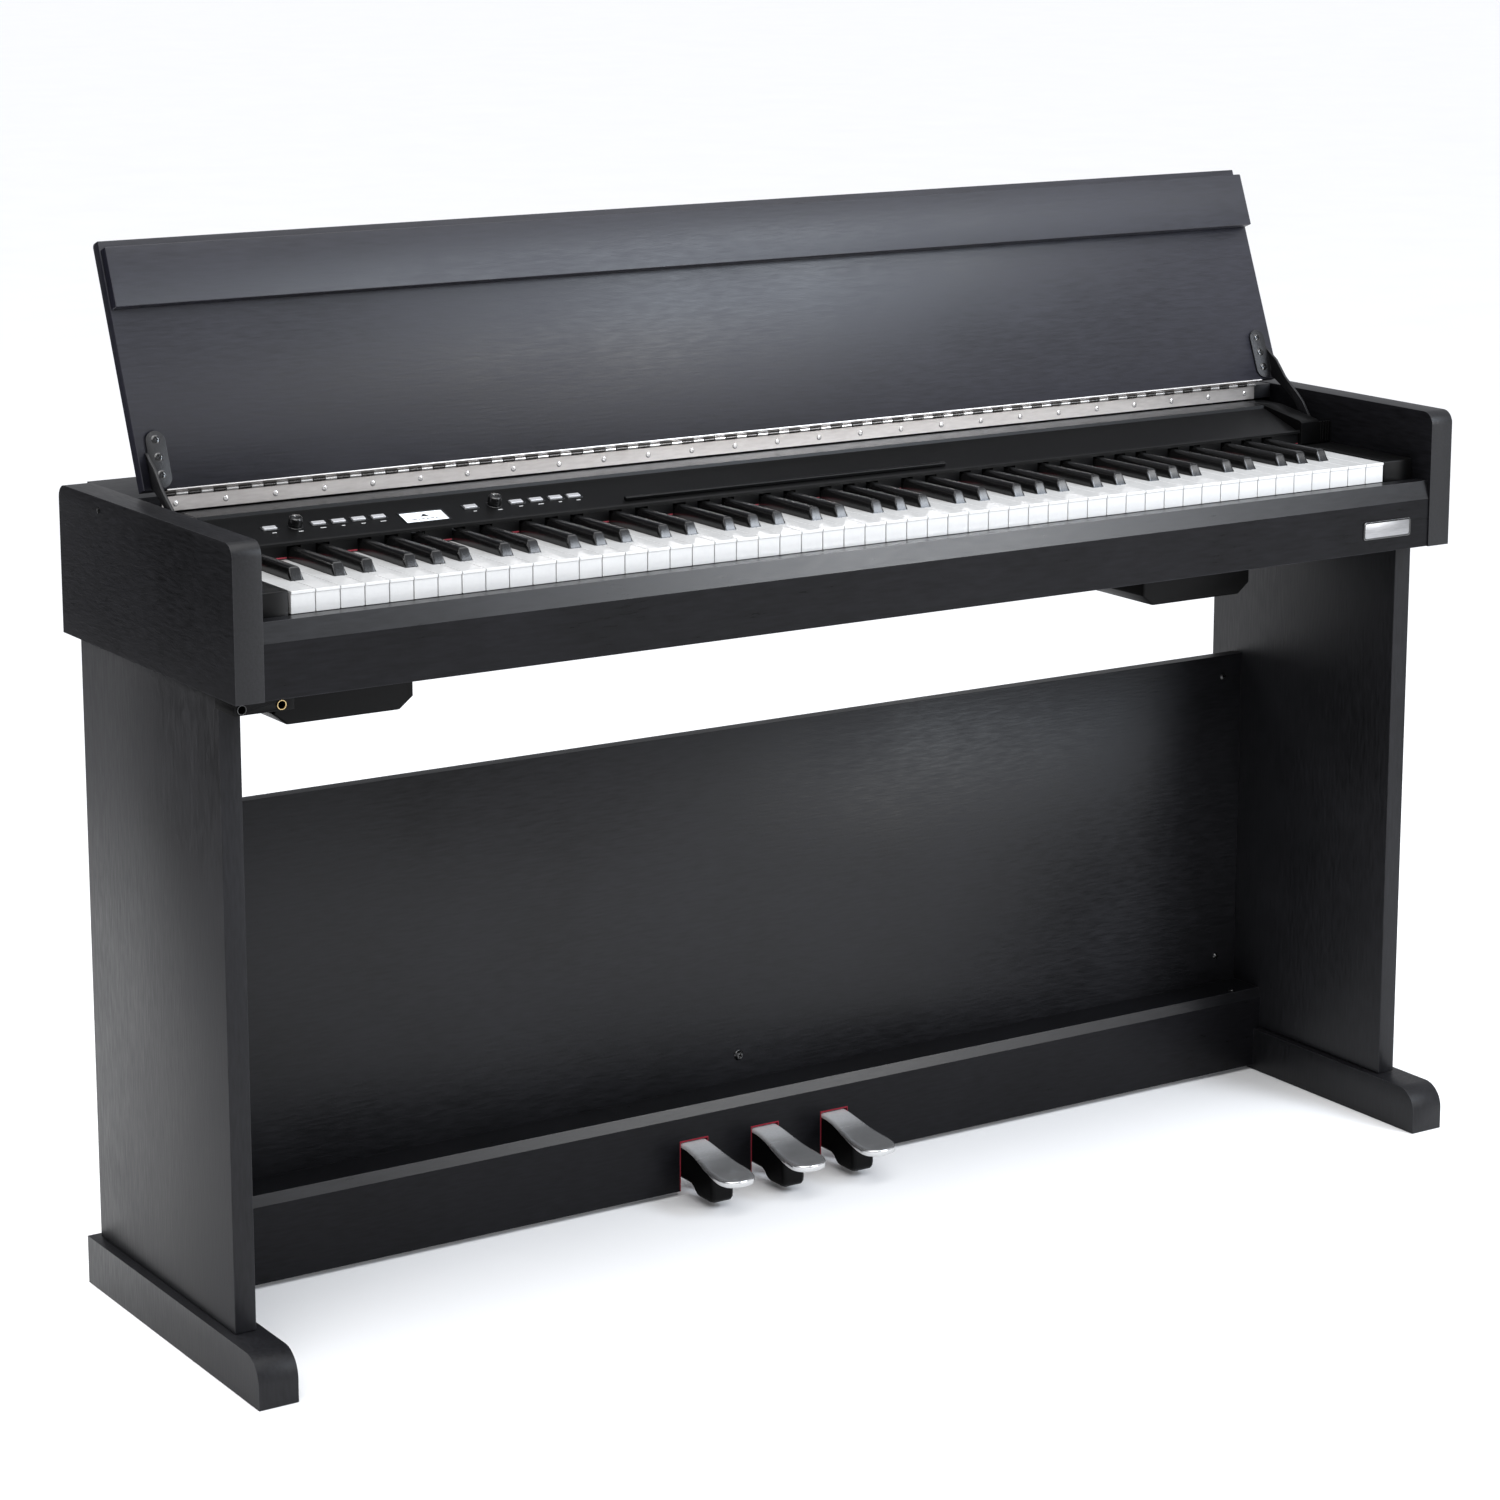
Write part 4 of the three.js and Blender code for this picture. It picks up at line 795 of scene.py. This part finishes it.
def add_display():
    """A raised bezel round the lit window, with a plain shape and a row of dashes in it."""
    low, high = DISPLAY_SPAN
    rings = []
    for margin, out in ((1.6, 0.03), (1.6, 0.5), (0.1, 0.5), (0.1, -0.15)):
        x0, x1 = DISPLAY_X[0] - margin, DISPLAY_X[1] + margin
        rings.append([on_slope(x, v, out) for x, v in (
            (x0, low - margin), (x1, low - margin), (x1, high + margin), (x0, high + margin))])
    build("display_bezel", loft(rings, closed=True), "gloss", "cabinet", edge=0.12)
    middle = sum(DISPLAY_X) / 2
    icon = prism([(middle + 1.5 + x, 19.2 + v) for x, v in ICON], (-0.19, -0.11), on_slope)
    build("display_icon", icon, "gloss", "cabinet")
    dashes = [box((middle + x - wide / 2, middle + x + wide / 2), (14.2, 15.6),
                  (-0.19, -0.13), on_slope) for x, wide in DASHES]
    build("display_row", joined(dashes), "gloss", "cabinet")


def add_cap_ribs():
    """Upright ribs beside the slot that each lid stay drops into."""
    for name, side in (("left", -1), ("right", 1)):
        parts = []
        for x in (637.6, 640.6, 644.6, 647.6):
            inner, outer = sorted((side * (x - 0.6), side * (x + 0.6)))
            parts.append(box((inner, outer), (151.6, 153.4), (708, 729), at))
        build(f"{name}_cap_ribs", joined(parts), "moulding", "cabinet", edge=0.3)


# ---------- pedals ----------

def rim_normals(points):
    """Outward normals along one side of the pedal's plan, from the back to the tip."""
    normals = []
    for i, (x, d) in enumerate(points):
        before = points[max(i - 1, 0)]
        after = points[min(i + 1, len(points) - 1)]
        if i == len(points) - 1:
            after = (-before[0], before[1])
        run = Vector((after[0] - before[0], after[1] - before[1])).normalized()
        normals.append(Vector((-run.y, run.x)))
    return normals


PLATE_LAYERS = ((5.0, 0.0), (2.6, 0.15), (1.3, 0.55), (0.45, 1.25), (0.05, 2.2), (0.0, 3.2))
PLATE_EDGE = 1.3
PLATE_UNDER = 2.95


def plate_skirt(depth):
    """How far the rim turns down: more round the tip than along the sides."""
    share = min(max((190 - depth) / 30, 0), 1)
    return 4.2 + 2.6 * share * share * (3 - 2 * share)


def pedal_plate(centre):
    """A polished plate with a crowned top, a rolled rim and a hollow underside."""
    side = [(half, depth) for depth, half, _ in PLATE_STATIONS]
    heights = [z for _, _, z in PLATE_STATIONS]
    normals = rim_normals(side)
    drops = [plate_skirt(d) for _, d in side]
    layers = [[(inset, drop) for _ in side] for inset, drop in PLATE_LAYERS]
    layers.append([(0.15, drop - 0.4) for drop in drops])
    layers.append([(0.6, drop) for drop in drops])
    layers.append([(PLATE_EDGE, drop) for drop in drops])
    layers.append([(PLATE_EDGE, PLATE_UNDER) for _ in side])
    n = len(side)
    verts = []
    for layer in layers:
        for sign in (1, -1):
            for i, (half, depth) in enumerate(side):
                inset, drop = layer[i]
                inset = min(inset, half) if i < n - 1 else inset
                x = max(half - inset * normals[i].x, 0) if i < n - 1 else 0
                d = depth - inset * normals[i].y if i else depth
                verts.append(at(centre + sign * x, d, heights[i] - drop))
    faces = []
    for k in range(len(layers) - 1):
        for half in (0, 1):
            a, b = (2 * k + half) * n, (2 * k + 2 + half) * n
            faces += [(a + i, a + i + 1, b + i + 1, b + i) for i in range(n - 1)]
        a, b, c, d = 2 * k * n, (2 * k + 1) * n, (2 * k + 3) * n, (2 * k + 2) * n
        faces.append((a, b, c, d))
    last = 2 * (len(layers) - 1) * n
    for start in (0, last):
        faces += [(start + i, start + i + 1, start + n + i + 1, start + n + i)
                  for i in range(n - 1)]
    return verts, faces


BOOT_PROFILE = (
    (278, 51.2), (240, 51.2), (226, 49.8), (212, 46.8), (198, 43.4), (190.6, 41.8), (187.6, 40),
    (186.6, 36), (185.2, 15), (185.8, 10.6), (188, 7.6), (192.4, 6.6), (211, 6.6), (215.4, 7.4),
    (219, 10), (222.6, 13.6), (227, 15.8), (232, 16.1), (278, 16.1),
)


def add_pedals():
    for name, x in PEDALS:
        body = f"{name}_pedal"
        plate = build(f"{name}_pedal_polished_plate", pedal_plate(x), "pedal_chrome", body,
                      angle=60, stands_for=[f"{name}_pedal_plate"])
        plate.visible_diffuse = False
        plate.visible_glossy = False
        boot = prism(BOOT_PROFILE, (x - 13, x + 13), along_x)
        build(f"{name}_pedal_rounded_boot", boot, "dull_moulding", body, edge=4.6,
              segments=6, angle=62, stands_for=[f"{name}_pedal_boot"])
        lining = [(x - 16.5, 5.2), (x - 16.5, 56.9), (x + 16.5, 56.9), (x + 16.5, 5.2),
                  (x + 15.8, 5.2), (x + 15.8, 55.7), (x - 15.8, 55.7), (x - 15.8, 5.2)]
        felt = prism(lining, (239.2, 256.8), lambda u, v, w: at(u, w, v))
        build(f"{name}_pedal_felt", felt, "pedal_felt", "cabinet", edge=0.25)


# ---------- fittings ----------

def ring_skin(outer, inner, thick, to):
    """A flat ring with a rounded face, standing on its own plane."""
    middle = (outer + inner) / 2
    profile = ((outer, 0), (outer, thick * 0.6), (middle + (outer - middle) * 0.5, thick),
               (middle - (middle - inner) * 0.4, thick), (inner, thick * 0.6), (inner, 0))
    return turned(profile, 32, to, closed=True)


def add_headphone_rings():
    for i, (x, look) in enumerate(((-671, "gloss"), (-634, "brass"))):
        ring = ring_skin(4.5, 3.3, 1.2, lambda u, v, w, x=x: at(x + u, 6.05 - w, 613.7 + v))
        build(f"headphone_ring_{i + 1}", ring, look, "cabinet", angle=40)


def add_rear_rings():
    for i, x in enumerate((-390, -360, -330)):
        ring = ring_skin(5.4, 3.3, 0.5, lambda u, v, w, x=x: at(x + u, 358.4 + w, 670 + v))
        build(f"rear_jack_ring_{i + 1}", ring, "chrome", "cabinet", angle=40)


def add_speaker_grilles():
    for name, side in (("left", -1), ("right", 1)):
        centre, depth = side * 491.5, 245
        to = lambda u, v, w: at(centre + u, depth + v, 552.8 + w)
        parts = []
        for radius in (4, 10, 16, 22, 28, 34, 39):
            inside = radius - 2
            section = ((radius, 0.2), (radius, 1.4), (inside, 1.4), (inside, 0.2))
            parts.append(turned(section, 40, to, closed=True))
        for k in range(4):
            turn = Matrix.Rotation(math.radians(45 * k), 3, "Z")

            def spoke(u, v, w, turn=turn):
                return to(*(turn @ Vector((u, v, w))))
            parts.append(box((-38.6, 38.6), (-0.9, 0.9), (1.1, 2.3), spoke))
        build(f"{name}_speaker_grille", joined(parts), "black_steel", "cabinet")
        lip = []
        for z in (621.4, 617.4):
            corners = ((-74.5, -79), (74.5, -79), (74.5, 79), (-74.5, 79))
            lip.append([at(centre + u, depth + v, z) for u, v in corners])
        inner = []
        for z in (617.4, 621.4):
            corners = ((-70.2, -74.7), (70.2, -74.7), (70.2, 74.7), (-70.2, 74.7))
            inner.append([at(centre + u, depth + v, z) for u, v in corners])
        build(f"{name}_speaker_flange", loft(lip + inner, closed=True), "moulding", "cabinet",
              edge=0.8, segments=2)


def add_badge_rim():
    """A dark outline round the blank badge."""
    def outline(wide, high, round_by):
        points = []
        for cx, cz, start in ((1, 1, 0), (-1, 1, 90), (-1, -1, 180), (1, -1, 270)):
            for k in range(5):
                turn = math.radians(start + 22.5 * k)
                points.append((596.5 + cx * (wide - round_by) + round_by * math.cos(turn),
                               642.3 + cz * (high - round_by) + round_by * math.sin(turn)))
        return points
    rings = []
    for wide, high, round_by, depth in ((30.9, 8.9, 3.0, 0.9), (30.9, 8.9, 3.0, 0.3),
                                        (30.3, 8.3, 2.6, 0.05), (29.6, 7.6, 2.2, 0.05),
                                        (29.4, 7.4, 2.0, 0.38)):
        rings.append([at(x, depth, z) for x, z in outline(wide, high, round_by)])
    rings.append([at(x, 0.9, z) for x, z in outline(29.4, 7.4, 1.6)])
    build("badge_rim", loft(rings, closed=True), "gloss", "cabinet", angle=30)


def add_cabinet_screws():
    cap = screw_mesh("cap_screw", 3.8, 0.6, 1.4, "screw")
    large = screw_mesh("large_cap_screw", 5.4, 0.8, 2.2, "screw")
    add_screws("back_panel_middle_screw", large, "cabinet",
               [at(3, 285.2, 117)], TO_FRONT)
    front = [at(-626, 285.2, 434), at(626, 285.2, 434),
             at(-625, 285.2, 120), at(625, 285.2, 120)]
    add_screws("back_panel_screw", cap, "cabinet", front, TO_FRONT)
    rear = [at(x, 300.0, z) for x in (-626, 3, 626) for z in (120, 434)]
    add_screws("back_panel_rear_screw", cap, "cabinet", rear, TO_REAR)
    up = Matrix.Identity(4)
    add_screws("beam_screw", cap, "cabinet",
               [at(x, 249, 91) for x in (-618, 618)], up)
    side = screw_mesh("side_screw", 3.2, 0.01, 0.35, "screw")
    add_screws("left_side_screw", side, "cabinet", [at(-679, 271, 744)], TO_LEFT)
    add_screws("right_side_screw", side, "cabinet", [at(679, 271, 744)], TO_RIGHT)
    rear_mesh = screw_mesh("rear_board_screw", 3.4, 0.4, 0.6, "screw")
    places = [at(x, 357, z) for x in (-630, -470, -240, 0, 240, 470, 630) for z in (632, 731)]
    add_screws("rear_board_screw", rear_mesh, "cabinet", places, TO_REAR)
    under = [at(x, d, 622) for x in (-600, -300, 0, 300, 600) for d in (60, 335)]
    add_screws("keybed_screw", rear_mesh, "cabinet", under, DOWN)


add_keys()
add_felt()
add_hinge()
add_stay_screws()
add_buttons()
add_knobs()
add_marks()
add_display()
add_cap_ribs()
add_pedals()
add_headphone_rings()
add_rear_rings()
add_speaker_grilles()
add_badge_rim()
add_cabinet_screws()


# ---------- studio ----------

def add_floor():
    """A wide pale floor just under the feet."""
    mesh = bpy.data.meshes.new("floor")
    reach = 90
    corners = [(-reach, -reach, 0), (reach, -reach, 0), (reach, reach, 0), (-reach, reach, 0)]
    mesh.from_pydata(corners, [], [(0, 1, 2, 3)])
    floor = bpy.data.objects.new("floor", mesh)
    bpy.context.scene.collection.objects.link(floor)
    floor.location.z = -0.0005
    mesh.materials.append(surface("pale_floor", grey(0.93), grey(0.95), (0.7, 0.8), 3, 0.0,
                                  Specular_IOR_Level=0.1))


def add_area(name, place, target, size, power, colour=(1, 1, 1)):
    light = bpy.data.lights.new(name, "AREA")
    light.shape = "RECTANGLE"
    light.size, light.size_y = size
    light.energy = power
    light.color = colour
    obj = bpy.data.objects.new(name, light)
    bpy.context.scene.collection.objects.link(obj)
    obj.location = place
    obj.rotation_euler = (Vector(target) - Vector(place)).to_track_quat("-Z", "Y").to_euler()
    return obj


def add_world():
    """A pale surround, brighter above than at the horizon."""
    world = bpy.data.worlds.new("studio")
    bpy.context.scene.world = world
    world.use_nodes = True
    tree = world.node_tree
    place = add(tree, "TexCoord").outputs["Generated"]
    height = add(tree, "SeparateXYZ", {0: place}).outputs["Z"]
    ramp = add(tree, "ValToRGB", {"Fac": height})
    ramp.color_ramp.elements[0].position = 0.0
    ramp.color_ramp.elements[0].color = (0.62, 0.62, 0.63, 1)
    ramp.color_ramp.elements[1].position = 0.6
    ramp.color_ramp.elements[1].color = (0.9, 0.92, 0.98, 1)
    back = tree.nodes["Background"]
    tree.links.new(ramp.outputs[0], back.inputs["Color"])
    back.inputs["Strength"].default_value = 0.72


def add_lights():
    sun = bpy.data.lights.new("soft_sun", "SUN")
    sun.energy = 1.6
    sun.angle = math.radians(50)
    obj = bpy.data.objects.new("soft_sun", sun)
    bpy.context.scene.collection.objects.link(obj)
    obj.rotation_euler = (math.radians(28), math.radians(-14), 0)
    add_area("lid_softbox", (1.55, -2.1, 1.95), (0.05, 0.15, 0.85), (0.9, 1.2), 33,
             (0.74, 0.85, 1.0))
    add_area("nose_light", (1.8, -2.1, 2.5), (0.0, -0.1, 0.7), (1.5, 0.4), 15)
    add_area("slip_light", (1.7, -2.55, 1.32), (0.0, -0.17, 0.68), (0.5, 0.3), 14)
    add_area("beam_light", (1.65, -2.57, 0.8), (0.0, 0.07, 0.1), (0.9, 0.3), 9)
    add_area("left_floor_light", (-1.15, 0.45, 0.9), (-1.1, 0.45, 0.0), (0.5, 0.5), 8)
    add_area("top_softbox", (0.3, -0.4, 3.4), (0.2, 0.0, 0.5), (3.0, 2.0), 45)


def add_dark_card():
    """A black card off to the left, seen only in reflections, that keeps the left faces dark."""
    corners = [(-2.35, 0.75, 0.06), (-0.85, 1.8, 0.06), (-0.85, 1.8, 1.3), (-2.35, 0.75, 1.3)]
    mesh = bpy.data.meshes.new("dark_card")
    mesh.from_pydata(corners, [], [(0, 1, 2, 3)])
    card = bpy.data.objects.new("dark_card", mesh)
    bpy.context.scene.collection.objects.link(card)
    mesh.materials.append(surface("dark_card", grey(0.0), grey(0.001), (0.9, 1.0), 3, 0.0,
                                  Specular_IOR_Level=0.0))
    card.visible_camera = False
    card.visible_diffuse = False
    card.visible_shadow = False


def add_camera():
    camera = bpy.data.cameras.new("camera")
    camera.lens = 93.89
    camera.sensor_width = 36
    camera.shift_y = -0.1
    camera.clip_end = 200
    obj = bpy.data.objects.new("camera", camera)
    bpy.context.scene.collection.objects.link(obj)
    obj.location = (-2.04892, -3.07097, 1.34967)
    obj.rotation_euler = (math.radians(78.61), 0, math.radians(-32.969))
    bpy.context.scene.camera = obj


add_floor()
add_world()
add_lights()
add_dark_card()
add_camera()
bpy.context.scene.view_settings.view_transform = "Standard"
